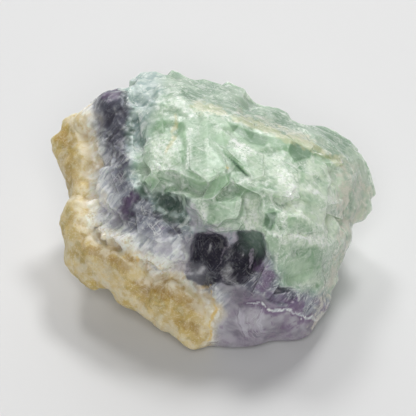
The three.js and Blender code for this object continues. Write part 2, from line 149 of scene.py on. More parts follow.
# Crystals that stand out of the display face. Each corner is across, up, and how far out of the stone.
CRYSTALS = {
    "wedge": [
        (-0.2, 17.6, 0.2), (-2, 15, 0), (-3.4, 11.5, 0), (-3.4, 7.3, 0.7), (0, 4.8, 2.2), (3.5, 7.2, 0.8),
        (2.4, 11.5, 0.1), (0, 12, 1),
    ],
    "clear_bar": [
        (4.1, 6.9, 0.5), (4.2, 4.6, 1), (0.9, 1.7, 0.9), (-1.3, 1.4, 0.6), (-0.2, 3.6, 0.5),
        (2.2, 5.8, 0.3),
    ],
    "left_foot": [(-3.8, 7, 0.3), (-0.2, 6, 0.3), (-0.5, 3, 0.5), (-2, 3.2, 0.6), (-3.8, 4.5, 0.4)],
    "nose": [
        (-1.8, 0.2, 0), (-0.5, 1.6, 0.2), (4, 2.4, 0.3), (6.6, 1.6, 0.2), (7.2, -1.5, 0.9),
        (5.6, -4, 1.2), (1, -4.5, 1.2), (-1.8, -3.2, 0.7),
    ],
    "crack_block": [(2.2, 12, 0.1), (5, 11.6, 0.4), (7, 9.7, 0.4), (7.9, 6.6, 0.1), (5.3, 9, 0.6)],
    "rhomb": [(2.5, 14.5, 0.5), (4.6, 13, 0.6), (3, 11, 0.5), (0.4, 12.5, 0.2)],
    "smooth_block": [(7, 10.6, 0.3), (10.2, 10, 0.7), (10.4, 6, 0.8), (8.2, 5.2, 0.7), (7.4, 7, 0.3)],
    "first_crest": [
        (-1, 18.6, 0.2), (5.2, 16.8, 0.9), (8.6, 15.6, 0.9), (8.2, 12.2, 0), (4, 14, 0), (4, 19, -0.8),
    ],
    "second_crest": [(7, 16.6, 0.7), (13.6, 13.9, 1), (12, 11, 0), (8.6, 12, 0), (10, 18, -0.8)],
    "third_crest": [
        (11.8, 14.8, 0.8), (19.4, 11.4, 1.1), (17.6, 8.6, 0), (12.6, 10.6, 0), (17, 15, -0.8),
    ],
    "fourth_crest": [(17.6, 12.4, 0.8), (25, 8.4, 1), (22.6, 6.6, 0), (18.6, 8.4, 0), (24, 12, -0.8)],
    "cream_block": [
        (10.6, 9.6, 0.2), (13.4, 9.2, 0.7), (16.6, 6.6, 1.1), (17, 2, 1.1), (13, 0.6, 0.6),
        (10.6, 4, 0.3),
    ],
    "slanted_slab": [(18.2, 5, 0.3), (25, 1.4, 1), (25, -2.2, 0.8), (19.2, 0.2, 0.3)],
    "triangle": [(14.4, 0.6, 0.6), (21.6, -4.4, 1), (14, -5, 0.8), (18, -1.4, 0.9)],
    "frosty_ledge": [
        (13.2, -4.6, 0.5), (22.2, -4.2, 0.8), (21.8, -6.8, 0.4), (13.6, -8.2, 0.2), (17.5, -5.4, 1),
    ],
    "green_knob": [
        (9.8, -3.8, 0.4), (12.6, -2.8, 0.6), (13.8, -5.6, 0.9), (13, -8.8, 0.6), (10.8, -8.8, 0.7),
        (9.8, -6.6, 1),
    ],
    "lower_block": [
        (12.2, -8, 0.4), (21, -7, 0.4), (20.6, -12.6, 0.3), (14.6, -15.2, 0.2), (12.6, -11.6, 0.6),
    ],
    "violet_blade": [
        (8, -16, 0.6), (10.6, -11, 1.2), (11.6, -9.2, 0.9), (13.4, -13.6, 0.7), (11.4, -16.8, 0.8),
    ],
    "toe_left": [
        (-0.9, -15.2, 0.3), (4.4, -15.2, 0.4), (5, -18.1, 0.5), (4.3, -21.6, 0.5), (5, -24.8, 0.4),
        (-0.6, -24.8, 0.2),
    ],
    "toe_lens": [
        (5.4, -18.3, 0.7), (4.8, -21.1, 0.9), (6.5, -24, 0.6), (10, -24.6, 0.4), (11.5, -21.6, 0.6),
        (10, -17.9, 0.8), (7.6, -20.4, 1.4),
    ],
    "toe_violet": [
        (11.1, -16.3, 0.6), (15.2, -15.5, 0.7), (17.8, -18.5, 0.6), (16.3, -23, 0.4), (13.3, -23.6, 0.5),
        (11.8, -20.7, 0.9),
    ],
    "toe_right": [
        (17.9, -15.7, 0.3), (21.1, -17, 0.4), (21.4, -19.8, 0.4), (19, -22.4, 0.3), (17, -22.8, 0.3),
        (17.6, -19.2, 0.9),
    ],
    "sugar_plate": [
        (-10.8, 10.6, 0.6), (-5.6, 10.6, 0.6), (-5.2, 8.6, 0.7), (-7.6, 6.8, 0.7), (-10.8, 7.4, 0.6),
    ],
    "olive_rhomb": [(-12.4, 5, 0.4), (-10.4, 6.6, 0.5), (-8.8, 5, 0.8), (-10.5, 2.8, 0.8)],
    "dark_block": [
        (-21.4, 19.4, 0.2), (-18.6, 22.4, 0.4), (-14.6, 20.6, 0.6), (-14.2, 15.4, 0.6),
        (-18.4, 13.2, 0.6),
    ],
    "teal_slab": [(-13, 18, 0.2), (-8.4, 19.4, 0.4), (-8.2, 14, 0.7), (-12.4, 12.4, 0.6)],
    "streaked_slab": [
        (-17, 12.8, 0.4), (-14, 13.6, 0.5), (-13.4, 7, 0.6), (-16.6, 2.6, 0.6), (-18.2, 7, 0.3),
    ],
    "grey_slab": [
        (-13.4, -1, 0.4), (-8, -2.4, 0.7), (-4.6, -5.8, 0.8), (-9, -6.4, 0.6), (-13, -4.6, 0.5),
    ],
}
ROOT_DEPTH = 3.0
ROOT_SPREAD = 1.12
RISE_SHARE = 0.75

# Clear faces of the crystals: how clear each is, and its outline. Clearness above one gives a deeper, darker
# green, which on the first, second and third steps under the crest is painted shade.
WINDOWS = {
    "wedge_left": (0.3, [(0, 16.5), (0, 4.8), (-3.3, 7.4), (-3.4, 11.5), (-1.5, 15.5)]),
    "wedge_right": (0.55, [(0, 16.5), (2.2, 11), (3.6, 7.4), (0, 4.8)]),
    "left_foot": (0.8, [(-3.8, 7), (-3.3, 7.3), (0, 4.7), (-0.5, 3), (-2, 3.2), (-3.8, 4.5)]),
    "clear_bar": (0.95, [
        (4, 6.8), (4.2, 4.6), (0.9, 1.7), (-1.3, 1.4), (-0.2, 3.6), (0.2, 4.7), (2.4, 6),
    ]),
    # A clearer, darker green over the upper middle of the display face, as painted shade on its top.
    "painted_shade_upper_face": (0.55, [
        (-2, 17.5), (6, 15.5), (12, 12.5), (13, 9.5), (9, 10.5), (5.5, 12.5), (1, 13.5), (-1.5, 12),
    ]),
    "left_pane": (0.9, [(-6.2, 15.5), (-4.4, 16.5), (-3.6, 12), (-4.2, 8), (-5.2, 8.2), (-5, 12)]),
    "upper_left_pane": (0.8, [(-12, 15.5), (-8, 17), (-6.8, 14.5), (-9.5, 13.2), (-12.2, 13)]),
    "rhomb": (1, [(2.5, 14.5), (4.5, 13), (3, 11), (0.5, 12.5)]),
    # Steps under the crest: made clearer than one so that their darker green is painted shade.
    "first_step": (1.5, [(3.1, 16.4), (7.2, 14.6), (11.5, 13.2), (10.7, 11.1), (7.6, 11.8), (4.4, 14.2)]),
    "second_step": (1.3, [(10, 13.5), (15.3, 12.9), (14.6, 10.4), (13.1, 10.7), (10.7, 12.2)]),
    "third_step": (1.6, [(15.3, 12.9), (19.4, 10.7), (19.1, 9.1), (15.9, 8.3), (14.6, 10.4)]),
    "fourth_step": (0.9, [(19.4, 10.7), (22.4, 9.4), (23, 7.4), (19.6, 8.2)]),
    "lens_crack": (2, [(1.7, 11.5), (5.4, 8.5), (8.1, 5.5), (7, 5.7), (5, 7.6)]),
    "smooth_block": (0.4, [(7.2, 10.5), (10, 9.8), (10.2, 6), (8.2, 5.4), (7.6, 7)]),
    "slot": (0.8, [(17, 7), (18, 7), (18, 4.5), (17, 4.5)]),
    "flecked": (0.6, [(4.4, 4.2), (10, 4.2), (10, 2), (8, 1.3), (5, 2.3)]),
    "nose": (0.45, [(-0.7, 1.6), (6.5, 1.9), (6.9, -1.5), (4.5, -3), (0, -3.2)]),
    "dark_pane": (1.7, [(10.5, -0.8), (13.1, -0.3), (12.6, -3), (11.5, -4.5), (10, -3.5)]),
    "triangle": (0.4, [(14.8, 0.2), (21, -4.5), (14.5, -4.8)]),
    "green_knob": (0.35, [(9.8, -4.8), (12.8, -5), (13.6, -7), (12, -8.8), (10.2, -7.6)]),
    "lower_block": (0.7, [
        (12.8, -10.4), (17, -8.4), (20.6, -9.2), (19.8, -13), (14.8, -14.8), (13.2, -12.4),
    ]),
    "sugar_plate": (0.2, [(-10.6, 10.5), (-5.6, 10.4), (-5.5, 8), (-7.8, 7), (-10.7, 7.4)]),
    "olive_rhomb": (0.8, [(-12.2, 5), (-10.4, 6.4), (-9, 5), (-10.5, 3)]),
}

# The dark recess under the nose, its green and its faded corner, the middle of the arcs on its break, and
# the green hollow beside it.
RECESS = [
    (-2.7, -4.5), (-0.9, -4.2), (1.3, -4.4), (3.4, -5), (4.2, -6.6), (5, -6.2), (5.4, -4.2), (7.8, -4.1),
    (10.6, -4.9), (10.9, -7.8), (10.4, -9.4), (9.1, -11.7), (7.2, -14), (4.6, -14.8), (2.2, -14),
    (-0.6, -14.6), (-3.9, -13.2), (-4.7, -11.8), (-3.5, -9.2), (-3.3, -6.8),
]
RECESS_TOP = -4.0
RECESS_BOTTOM = -14.6
RECESS_DEPTH = 1.5
RECESS_WALL = 0.8
RIDGE_LOSS = 0.85
GREEN_CORNER = (9.2, -5.4)
FADED_CORNER = (-2.6, -12.6)
BREAK_MIDDLE = DISPLAY_MIDDLE + 9.5 * ACROSS - 3.5 * UP
GREEN_HOLLOW = [
    (-9.8, 3), (-4, 2.6), (-3.4, -1), (-6, -2.4), (-9.4, -0.8),
]
GREEN_HOLLOW_DEPTH = 0.5

# The middle of the swirls on the toe's lens-shaped crystal.
SWIRL_MIDDLE = DISPLAY_MIDDLE + 14.5 * ACROSS - 21.5 * UP + 7.0 * OUT

# Lumps that fill gaps in the outline: their middle across, up and out, and half their width, height and
# depth.
LUMPS = [
    ((-22.8, 3.2, -9.5), (2.4, 2.8, 4.5)), ((-24.4, -2.4, -8), (2.8, 3.8, 5)),
    ((-23.7, -5.6, -6), (2.8, 3.2, 5)), ((-24.2, -9.4, -6.5), (2.2, 3.2, 4.5)),
    ((-21.4, -12.6, -5), (2, 2.4, 4)), ((-13.4, -15.8, -1.5), (3.4, 2.6, 4.5)),
    ((-17.4, 18.6, -9), (4.6, 4.2, 6)), ((-21.6, 16.4, -11), (3.4, 3.6, 5)),
    ((5, -23.8, -0.8), (7.5, 2, 3)), ((14.5, -22.6, -2.2), (5.5, 2.2, 3)),
    ((24.4, -4.8, -8), (3.2, 4.6, 5)),
]

# Cleavage blocks that cover the crystal: attribute that says where, blocks per square metre, and their
# smallest and largest half width.
BLOCKS = [
    ("wide_blocks", 60000.0, 1.6, 3.2),
    ("narrow_blocks", 150000.0, 0.7, 1.4),
    ("grains", 500000.0, 0.35, 0.75),
]
BLOCK_KINDS = 9
BLOCK_SINK = 0.9
BLOCK_SWING = 0.05

# Strokes of one quality along the display face: half its width, its strength, and the points it follows.
FROST = [
    (0.5, 0.8, [(-5.5, 20.5), (-4, 18), (0, 18), (5, 16)]),
    (0.6, 0.9, [(-2, 17.8), (3, 14), (5, 12.5), (7, 9.5)]),
    (0.9, 1, [(5.5, 11.5), (7, 10)]),
    (0.8, 0.7, [(0, 12), (0.5, 9.5)]),
    (0.4, 1, [(-3.5, 14.5), (-4, 7.5)]),
    (0.7, 0.8, [(4.5, 4.5), (7, 5.5), (9.5, 4.5)]),
    (1.4, 1, [(8, 1), (9, -1), (7.5, -3)]),
    (1.3, 1, [(13.5, 6.5), (15.5, 3.5), (15.5, 1.5)]),
    (0.6, 0.8, [(18.5, 3.5), (23.5, 1), (24, -1.5)]),
    (0.4, 0.7, [(11, 11.5), (14, 8), (16.5, 5.5)]),
    (1.1, 1, [(13.5, -5.5), (17, -5), (21.5, -6)]),
    (0.8, 0.8, [(10.5, -3.5), (13, -5.5)]),
    (0.4, 0.9, [(13.7, 2), (14.3, -5)]),
    (0.4, 0.7, [(17, -1), (21.6, -4.6)]),
    (2.2, 0.9, [(-8.5, 12.5), (-8, 10), (-9, 8)]),
    (1.1, 0.6, [(-7.5, 19.5), (-4.5, 18.5)]),
    (0.18, 0.8, [(12.6, -10.7), (19.2, -9.1)]),
    (0.18, 0.8, [(19.2, -14.6), (14.2, -15.3), (13, -12), (12.4, -8.6)]),
    (0.18, 0.8, [(13.3, -5.2), (15, -0.6), (20.9, -4.8)]),
    (0.15, 0.8, [(-1.3, 1.4), (4.1, 4.6), (4.2, 7)]),
    (0.15, 0.7, [(-3.4, 7.3), (0, 4.8), (3.5, 7.2)]),
    (0.15, 0.7, [(10.2, 10.2), (10.4, 6), (8.2, 5.2)]),
    (0.9, 0.7, [(-8, 6.5), (-6, 6)]),
    (0.9, 0.9, [(-1, 0.5), (-1, -1.5)]),
    (2, 1, [(-10.5, -9.5), (-8, -11), (-6.5, -11.5)]),
    (1.5, 0.9, [(-18, -4.5), (-14.5, -6.5)]),
    (1.8, 0.9, [(-22, -2.5), (-19.5, -3)]),
    (0.5, 0.5, [(25, -4), (22, -12), (22, -16)]),
]
DARK = [
    (3.9, 1, [(-18.8, 19.5), (-18, 15.5), (-17.2, 13.5)]),
    (0.8, 0.8, [(-15, 21), (-15, 18.5)]),
    (1.3, 0.65, [(-16, 10.5), (-15.8, 6.5), (-17, 3.5)]),
    (1.4, 1, [(-12, 3.5), (-14.5, 0.5), (-16.5, -2)]),
    (2, 0.95, [(-8.2, 1.4), (-5.4, 0.2)]),
    (0.9, 1, [(-7.6, -1.4), (-4.6, -2.4)]),
    (0.45, 1, [(-7.3, -4.3), (-5.2, -4.3)]),
    (0.7, 0.8, [(-9.5, -0.8), (-6, -2.6), (-3.5, -3)]),
    (0.25, 0.5, [(12.6, -12.2), (13.8, -15.2)]),
]
VIOLET = [
    (1.3, 0.55, [(-20, 21.5), (-18, 21)]),
    (0.9, 0.9, [(-18.5, -0.5), (-17, -1.5)]),
    (1.5, 1, [(15.3, -17.4), (17.4, -20)]),
    (1.2, 0.7, [(12, -16.4), (14.6, -17.2)]),
    (1, 0.6, [(14.6, -20.6), (15, -23)]),
    (1.5, 0.9, [(10, -11.2), (12, -12.6), (10, -15)]),
    (0.6, 0.8, [(20.5, -17.5), (22.5, -19.5)]),
    (0.8, 1, [(7, -17.2), (9.4, -17.7), (10.4, -18.7), (13.7, -18.7), (16, -19.6), (19.2, -20.5)]),
    (1, 0.6, [(-13.5, 2.5), (-15.5, -0.5)]),
]
STAIN = [
    (1, 0.5, [(-2, 19), (3, 17.5)]),
    (0.9, 0.5, [(5.5, 16.5), (11, 14.5), (19, 11.5), (24, 8.5)]),
    (0.35, 0.7, [(-6, 17), (-6.3, 13), (-7.5, 11)]),
]
GOLD = [
    (0.25, 1, [(0.9, -15.2), (1.2, -18), (0.5, -21), (0.2, -25)]),
    (0.3, 1, [(3.4, 7.6), (3.6, 7.4)]),
    (0.35, 0.9, [(-13.4, -9.3), (-13.2, -9.5)]),
    (0.3, 0.6, [(-2, -14.4), (0.4, -14.2)]),
]
MILKY = [
    (1.1, 0.8, [
        (-25.8, -6.5), (-24.6, -10.2), (-21, -12.8), (-16.4, -15.8), (-12.6, -17.9), (-10.4, -21),
        (-6.6, -23), (-3.2, -25.4),
    ]),
    (1.6, 0.6, [(-20.5, -10.8), (-16.8, -13.2)]),
    (1.3, 0.8, [(-28, 15.6), (-25, 18), (-22.5, 19.5)]),
    (0.8, 0.6, [(-29, 12), (-27, 6), (-25.6, 2)]),
    (1.2, 0.6, [(-13.6, -12.4), (-9.5, -13.6), (-6, -14.2)]),
]
BROWN = [
    (1.6, 0.8, [(-21, -7.5), (-17.5, -9), (-15, -10.5)]),
    (1.8, 0.9, [(-11.5, -14.2), (-8, -14.5), (-5.5, -15.5)]),
    (1.2, 0.8, [(-4.5, -17), (-2.6, -18)]),
    (1.4, 0.7, [(-4.5, -21.5), (-2, -22)]),
    (1.2, 0.5, [(-26.5, 9), (-25.5, 4.5)]),
    (1.5, 0.5, [(-28, 14), (-26, 12)]),
]
# Pale strokes: paler green facets; on the right of the display face they are also painted light, brightening
# faces that the lamps reach less.
PALE = [
    (2.4, 0.6, [(12.4, 6.8), (15, 4), (14.6, 2)]),
    (2.4, 0.85, [(17.5, 4), (23, 1.5)]),
    (2.4, 1, [(16, 0), (21.5, -2), (22.5, -4)]),
    (2, 0.8, [(20, 8), (25, 4)]),
    (2.6, 0.8, [(27.5, 9), (28.5, 2), (27.5, -4)]),
    (1.8, 0.6, [(17, -10.5), (19, -13)]),
    (1.6, 0.7, [(14.5, -5.8), (20.5, -6)]),
    (1.6, 0.8, [(8, 1.5), (8.4, -3)]),
    (1.4, 0.7, [(8.6, 9.6), (9.4, 6.6)]),
    (1.6, 0.6, [(-9, 12), (-7, 8.5)]),
]
BEIGE = [
    (1.3, 0.8, [(25.7, 7), (24.4, 1.9), (25.7, -4.3), (23.7, -10.9), (21.6, -17.2), (19.8, -22.8)]),
    (1.8, 0.7, [(28.5, 4), (28, -2)]),
    (0.7, 0.5, [(6, 18), (12, 15.5), (20, 12), (27, 8)]),
]
RIDGES = [
    (0.45, 0.8, [(4.7, -5), (5.2, -6)]),
    (0.25, 0.5, [(3.5, -7.2), (2.9, -8.2)]),
    (0.12, 0.45, [(5, -5.5), (3.4, -7.4), (2.7, -9), (2.4, -11), (2.6, -13.4)]),
    (0.2, 0.6, [(-1.5, -4.6), (1.1, -4.2), (3, -4.8), (4.2, -5.6)]),
    (0.2, 0.9, [(8, -7.6), (7.9, -9.5), (7.5, -11)]),
    (1.2, 0.5, [(-4, -6.5), (-4.6, -9.5), (-4.8, -11)]),
    (0.5, 0.5, [(-2.2, -3.3), (1, -3.4), (4, -3.7)]),
    (1, 0.6, [(-2.8, 0), (-2.4, -3.6)]),
    (0.3, 0.5, [(7, -18.5), (5.5, -21), (6.5, -24)]),
    (0.3, 0.5, [(9, -17.8), (8, -21), (9, -23.5)]),
    (0.3, 0.4, [(3, -17), (8, -16.5), (13, -18)]),
    (0.9, 0.5, [(1.5, -24.6), (9, -25.2), (16, -24)]),
]


class Skin:
    """A closed quad mesh as arrays, in millimetres."""

    def __init__(self, mesh):
        self.points = np.empty(len(mesh.vertices) * 3)
        mesh.vertices.foreach_get("co", self.points)
        self.points = self.points.reshape(-1, 3) / MM
        self.quads = np.array([tuple(face.vertices) for face in mesh.polygons])
        self.edges = np.array([tuple(edge.vertices) for edge in mesh.edges])
        self.degree = np.bincount(self.edges.ravel(), minlength=len(self.points))[:, None]
        self.pairs = self.neighbouring_quads()

    def neighbouring_quads(self):
        """Pairs of quads that share an edge."""
        ends = np.concatenate([self.quads[:, [i, (i + 1) % 4]] for i in range(4)])
        owner = np.tile(np.arange(len(self.quads)), 4)
        ends.sort(axis=1)
        key = ends[:, 0] * len(self.points) + ends[:, 1]
        order = np.argsort(key, kind="stable")
        same = key[order][1:] == key[order][:-1]
        return np.column_stack([owner[order][:-1][same], owner[order][1:][same]])

    def centres(self):
        return self.points[self.quads].mean(axis=1)

    def face_normals(self):
        a, b, c, d = (self.points[self.quads[:, i]] for i in range(4))
        return unit(np.cross(c - a, d - b))

    def gathered(self, face_values):
        """The sum over each point's faces of the faces' values."""
        columns = face_values.reshape(len(self.quads), -1)
        corners = self.quads.ravel()
        sums = [
            np.bincount(corners, np.repeat(column, 4), minlength=len(self.points))
            for column in columns.T
        ]
        return np.column_stack(sums)

    def point_normals(self):
        return unit(self.gathered(self.face_normals()))

    def neighbour_mean(self, values):
        flat = values.reshape(len(self.points), -1)
        a, b = self.edges.T
        sums = [
            np.bincount(a, column[b], minlength=len(flat)) + np.bincount(b, column[a], minlength=len(flat))
            for column in flat.T
        ]
        return (np.column_stack(sums) / self.degree).reshape(values.shape)

    def smoothed(self, values, rounds):
        for _ in range(rounds):
            values = 0.5 * values + 0.5 * self.neighbour_mean(values)
        return values

    def relaxed(self, values, rounds):
        """Smoothed without shrinking: each smoothing step is followed by one back."""
        for _ in range(rounds):
            values = values + 0.5 * (self.neighbour_mean(values) - values)
            values = values - 0.53 * (self.neighbour_mean(values) - values)
        return values

    def crisp_normals(self, rounds, likeness):
        """Face normals averaged with like neighbours only, which gathers rough faces into flat ones."""
        normals = self.face_normals()
        a, b = self.pairs.T
        for _ in range(rounds):
            weight = np.maximum((normals[a] * normals[b]).sum(axis=1) - likeness, 0.0) ** 2
            total = normals * 0.05
            for i in range(3):
                total[:, i] += np.bincount(a, weight * normals[b, i], minlength=len(normals))
                total[:, i] += np.bincount(b, weight * normals[a, i], minlength=len(normals))
            normals = unit(total)
        return normals

    def move_towards(self, target, share):
        """Moves each point by its own share of the way to a target."""
        self.points = self.points + np.reshape(share, (-1, 1)) * (target - self.points)

    def tree(self):
        return BVHTree.FromPolygons((self.points * MM).tolist(), self.quads.tolist())

    def mesh(self, name):
        mesh = bpy.data.meshes.new(name)
        mesh.from_pydata((self.points * MM).tolist(), [], self.quads.tolist())
        mesh.update()
        return mesh


def unit(vectors):
    return vectors / np.maximum(np.linalg.norm(vectors, axis=-1, keepdims=True), 1e-12)


def smoothstep(low, high, values):
    t = np.clip((values - low) / (high - low), 0.0, 1.0)
    return t * t * (3.0 - 2.0 * t)


def capped(steps, longest):
    """Steps made no longer than a length."""
    length = np.linalg.norm(steps, axis=1, keepdims=True)
    return steps * np.minimum(1.0, longest / np.maximum(length, 1e-9))


def noise_at(points, size, shift=0.0):
    """Smooth noise, mostly between -1 and 1, with lumps of the given size in millimetres."""
    return np.array([noise.noise(Vector(p)) for p in points / size + shift]) * 1.6


def lattice_axes():
    """The four cleavage planes' normals in the stone's frame."""
    roll = Matrix.Rotation(LATTICE_ROLL, 3, "Z")
    tilt = Matrix.Rotation(-LATTICE_TILT, 3, "X")
    turn = Matrix.Rotation(LATTICE_TURN, 3, "Y")
    to_stone = np.column_stack([ACROSS, UP, OUT])
    diagonals = np.array([[1, 1, 1], [1, 1, -1], [1, -1, 1], [-1, 1, 1]])
    return unit((to_stone @ np.array(roll @ tilt @ turn) @ diagonals.T).T)


def lattice_cube_axes():
    """The three cube planes' normals of the same lattice."""
    a, b, c, d = lattice_axes()
    return unit(np.array([a + b, a + c, a + d]))


def on_display(points):
    """Places on the display face as the camera sees them."""
    from_middle = points - DISPLAY_MIDDLE
    nearness = CAMERA_DISTANCE / (CAMERA_DISTANCE - from_middle @ OUT)
    return np.column_stack([from_middle @ ACROSS, from_middle @ UP]) * nearness[:, None]


def to_line(places, line):
    """Distance to an open line, and which side of it each place is on."""
    line = np.array(line)
    nearest = np.full(len(places), np.inf)
    side = np.zeros(len(places))
    for start, end in zip(line[:-1], line[1:]):
        way = end - start
        away = places - start
        share = np.clip(away @ way / np.linalg.norm(way)**2, 0.0, 1.0)
        gap = np.linalg.norm(away - share[:, None] * way, axis=1)
        closer = gap < nearest
        nearest[closer] = gap[closer]
        turned = away[:, 1] * way[0] - away[:, 0] * way[1]
        side[closer] = np.sign(turned[closer])
    return nearest, side


def beyond(places, line):
    """Distance to the right of a line that runs downwards, less than nothing to its left."""
    gap, side = to_line(places, line)
    return gap * side


def inside(places, outline):
    """Distance into a closed outline, less than nothing outside it."""
    outline = np.array(outline)
    closed = np.vstack([outline, outline[:1]])
    gap, _ = to_line(places, closed)
    crossings = np.zeros(len(places), int)
    for (ax, ay), (bx, by) in zip(closed[:-1], closed[1:]):
        spans = (ay > places[:, 1]) != (by > places[:, 1])
        if ay != by:
            meets = ax + (places[:, 1] - ay) * (bx - ax) / (by - ay)
            crossings += spans & (places[:, 0] < meets)
    return np.where(crossings % 2 == 1, gap, -gap)


def flat_outline(corners):
    """A crystal's corners without how far they stand out."""
    return [corner[:2] for corner in corners]


def strokes(places, lines, jitter):
    """How strongly a set of strokes covers each place."""
    covered = np.zeros(len(places))
    for half_width, strength, line in lines:
        edge = to_line(places, line)[0] + jitter * half_width
        share = 1.0 - smoothstep(0.4 * half_width, 1.3 * half_width, edge)
        covered = np.maximum(covered, strength * share)
    return covered


def even_skin(mesh, voxel):
    """One even closed skin over a mesh."""
    holder = bpy.data.objects.new("skin_source", mesh)
    bpy.context.scene.collection.objects.link(holder)
    remesh = holder.modifiers.new("even", "REMESH")
    remesh.mode = "VOXEL"
    remesh.voxel_size = voxel * MM
    evaluated = holder.evaluated_get(bpy.context.evaluated_depsgraph_get())
    even = bpy.data.meshes.new_from_object(evaluated)
    bpy.data.objects.remove(holder)
    return Skin(even)


def solid_mesh(source):
    """The solid's mesh with its corners joined."""
    mesh = source.data.copy()
    merging = bmesh.new()
    merging.from_mesh(mesh)
    bmesh.ops.remove_doubles(merging, verts=merging.verts, dist=1e-6)
    merging.to_mesh(mesh)
    merging.free()
    return mesh


def with_lumps(mesh):
    """The same mesh with the lumps added to it."""
    joining = bmesh.new()
    joining.from_mesh(mesh)
    to_stone = np.column_stack([ACROSS, UP, OUT])
    turn = Matrix(to_stone.tolist()).to_4x4()
    for middle, halves in LUMPS:
        place = Matrix.Translation(Vector((DISPLAY_MIDDLE + to_stone @ np.array(middle)) * MM))
        size = Matrix.Diagonal((*np.array(halves) * MM, 1.0))
        bmesh.ops.create_icosphere(joining, subdivisions=2, radius=1.0, matrix=place @ turn @ size)
    joining.to_mesh(mesh)
    joining.free()
    return mesh


def nearest_planes(skin, tree):
    """Normal and level of the solid's face nearest to each quad."""
    normals = np.empty((len(skin.quads), 3))
    levels = np.empty(len(skin.quads))
    for i, centre in enumerate(skin.centres() * MM):
        place, normal, _, _ = tree.find_nearest(Vector(centre))
        normals[i] = normal
        levels[i] = normal.dot(place) / MM
    return normals, levels


def settle_on_planes(skin, normals, levels, hold=0.03, reach=0.6):
    """Moves each point to where its faces' planes meet, so that edges come out crisp."""
    matrix = skin.gathered((normals[:, :, None] * normals[:, None, :]).reshape(-1, 9))
    matrix = matrix.reshape(-1, 3, 3) + hold * np.eye(3)
    pull = skin.gathered(normals * levels[:, None]) + hold * skin.points
    target = np.linalg.solve(matrix, pull[:, :, None])[:, :, 0]
    skin.points = skin.points + capped(target - skin.points, reach)


def gather_into_faces(skin, rounds, likeness, settles, hold, farthest=0.5):
    """Turns roughness into small flat faces with crisp edges, each point kept near where it was."""
    start = skin.points
    normals = skin.crisp_normals(rounds, likeness)
    for _ in range(settles):
        levels = (normals * skin.centres()).sum(axis=1)
        settle_on_planes(skin, normals, levels, hold=hold)
    skin.points = start + capped(skin.points - start, farthest)


def skin_of_stone(material):
    """The stone's skin: the solid's form with hollows carved, crystals and cleavage blocks grown on it."""
    solid = with_lumps(solid_mesh(frame["nodes"]["fluorite"]))
    skin = even_skin(solid, FORM_VOXEL)
    skin.points = skin.relaxed(skin.points, FORM_ROUNDS)
    soften(skin)
    carve(skin)
    rounded = skin.points
    crust = crust_share(skin)
    gather_into_faces(skin, rounds=10, likeness=0.75, settles=5, hold=0.1)
    skin.move_towards(rounded, crust)
    grown = with_crystals(skin, with_blocks(skin, material))
    skin = even_skin(grown, VOXEL)
    grown_tree = BVHTree.FromPolygons(
        [tuple(vertex.co) for vertex in grown.vertices], [tuple(face.vertices) for face in grown.polygons],
    )
    for _ in range(2):
        settle_on_planes(skin, *nearest_planes(skin, grown_tree))
    for _ in range(3):
        fill_cracks(skin)
    return skin


def crust_share(skin):
    """How much each point belongs to the crust, with a short blend into the crystal."""
    return 1.0 - smoothstep(-1.5, 0.5, beyond(on_display(skin.points), CRUST_EDGE))


def soften(skin):
    """Rounds off the lumps of the crust and the toe, and draws the crystal in to make room for blocks."""
    crust = crust_share(skin)
    skin.move_towards(skin.smoothed(skin.points, CRUST_ROUNDS) + CRUST_SWELL * skin.point_normals(), crust)
    skin.points = skin.points - FORM_INSET * (1.0 - crust)[:, None] * skin.point_normals()
    toe = smoothstep(-15.5, -18.5, on_display(skin.points)[:, 1]) * (1.0 - crust)
    skin.move_towards(skin.smoothed(skin.points, TOE_ROUNDS) + TOE_SWELL * skin.point_normals(), toe)


def carve(skin):
    """Sinks the dark recess, evens the ridge across it, and sinks the green hollow beside it."""
    facing = skin.point_normals() @ OUT > -0.1
    places = on_display(skin.points)
    fall = np.clip((RECESS_TOP - places[:, 1]) / (RECESS_TOP - RECESS_BOTTOM), 0.0, 1.0)
    ragged = inside(places, RECESS) + 0.25 * noise_at(skin.points, 1.6, 14.0)
    wall = RECESS_WALL + 3.0 * fall
    deeper = -RECESS_DEPTH * (1.0 - fall) * smoothstep(0.0, 1.0, ragged / wall) * facing
    skin.move_towards(skin.smoothed(skin.points, 50), RIDGE_LOSS * smoothstep(0.4, 2.0, ragged) * facing)
    green = -GREEN_HOLLOW_DEPTH * smoothstep(0.0, 2.2, inside(places, GREEN_HOLLOW)) * facing
    skin.points = skin.points + (deeper + green)[:, None] * OUT


def fill_cracks(skin):
    """Raises whatever lies deep between its neighbours, so that narrow cracks close."""
    around = skin.smoothed(skin.points, 5)
    normals = unit(skin.smoothed(skin.point_normals(), 3))
    below = ((around - skin.points) * normals).sum(axis=1)
    skin.points = skin.points + (np.maximum(below - CRACK_DEPTH, 0.0))[:, None] * normals


def half_space_corners(normals, widths):
    """Corners of the convex block that lies within a width of its middle along every normal."""
    planes = [(sign * normal, width) for normal, width in zip(normals, widths) for sign in (1.0, -1.0)]
    directions = np.array([normal for normal, _ in planes])
    limits = np.array([width for _, width in planes])
    corners = []
    for triple in itertools.combinations(range(len(planes)), 3):
        rows = directions[list(triple)]
        if abs(np.linalg.det(rows)) > 0.05:
            corner = np.linalg.solve(rows, limits[list(triple)])
            if np.all(directions @ corner <= limits + 1e-6):
                corners.append(corner)
    return np.array(corners)


def hull_mesh(name, corners):
    """The closed convex mesh around some corners, in millimetres."""
    building = bmesh.new()
    for corner in corners:
        building.verts.new(corner * MM)
    result = bmesh.ops.convex_hull(building, input=building.verts)
    spare = [item for item in result["geom_interior"] if isinstance(item, bmesh.types.BMVert)]
    bmesh.ops.delete(building, geom=spare, context="VERTS")
    bmesh.ops.recalc_face_normals(building, faces=building.faces)
    mesh = bpy.data.meshes.new(name)
    building.to_mesh(mesh)
    building.free()
    return mesh


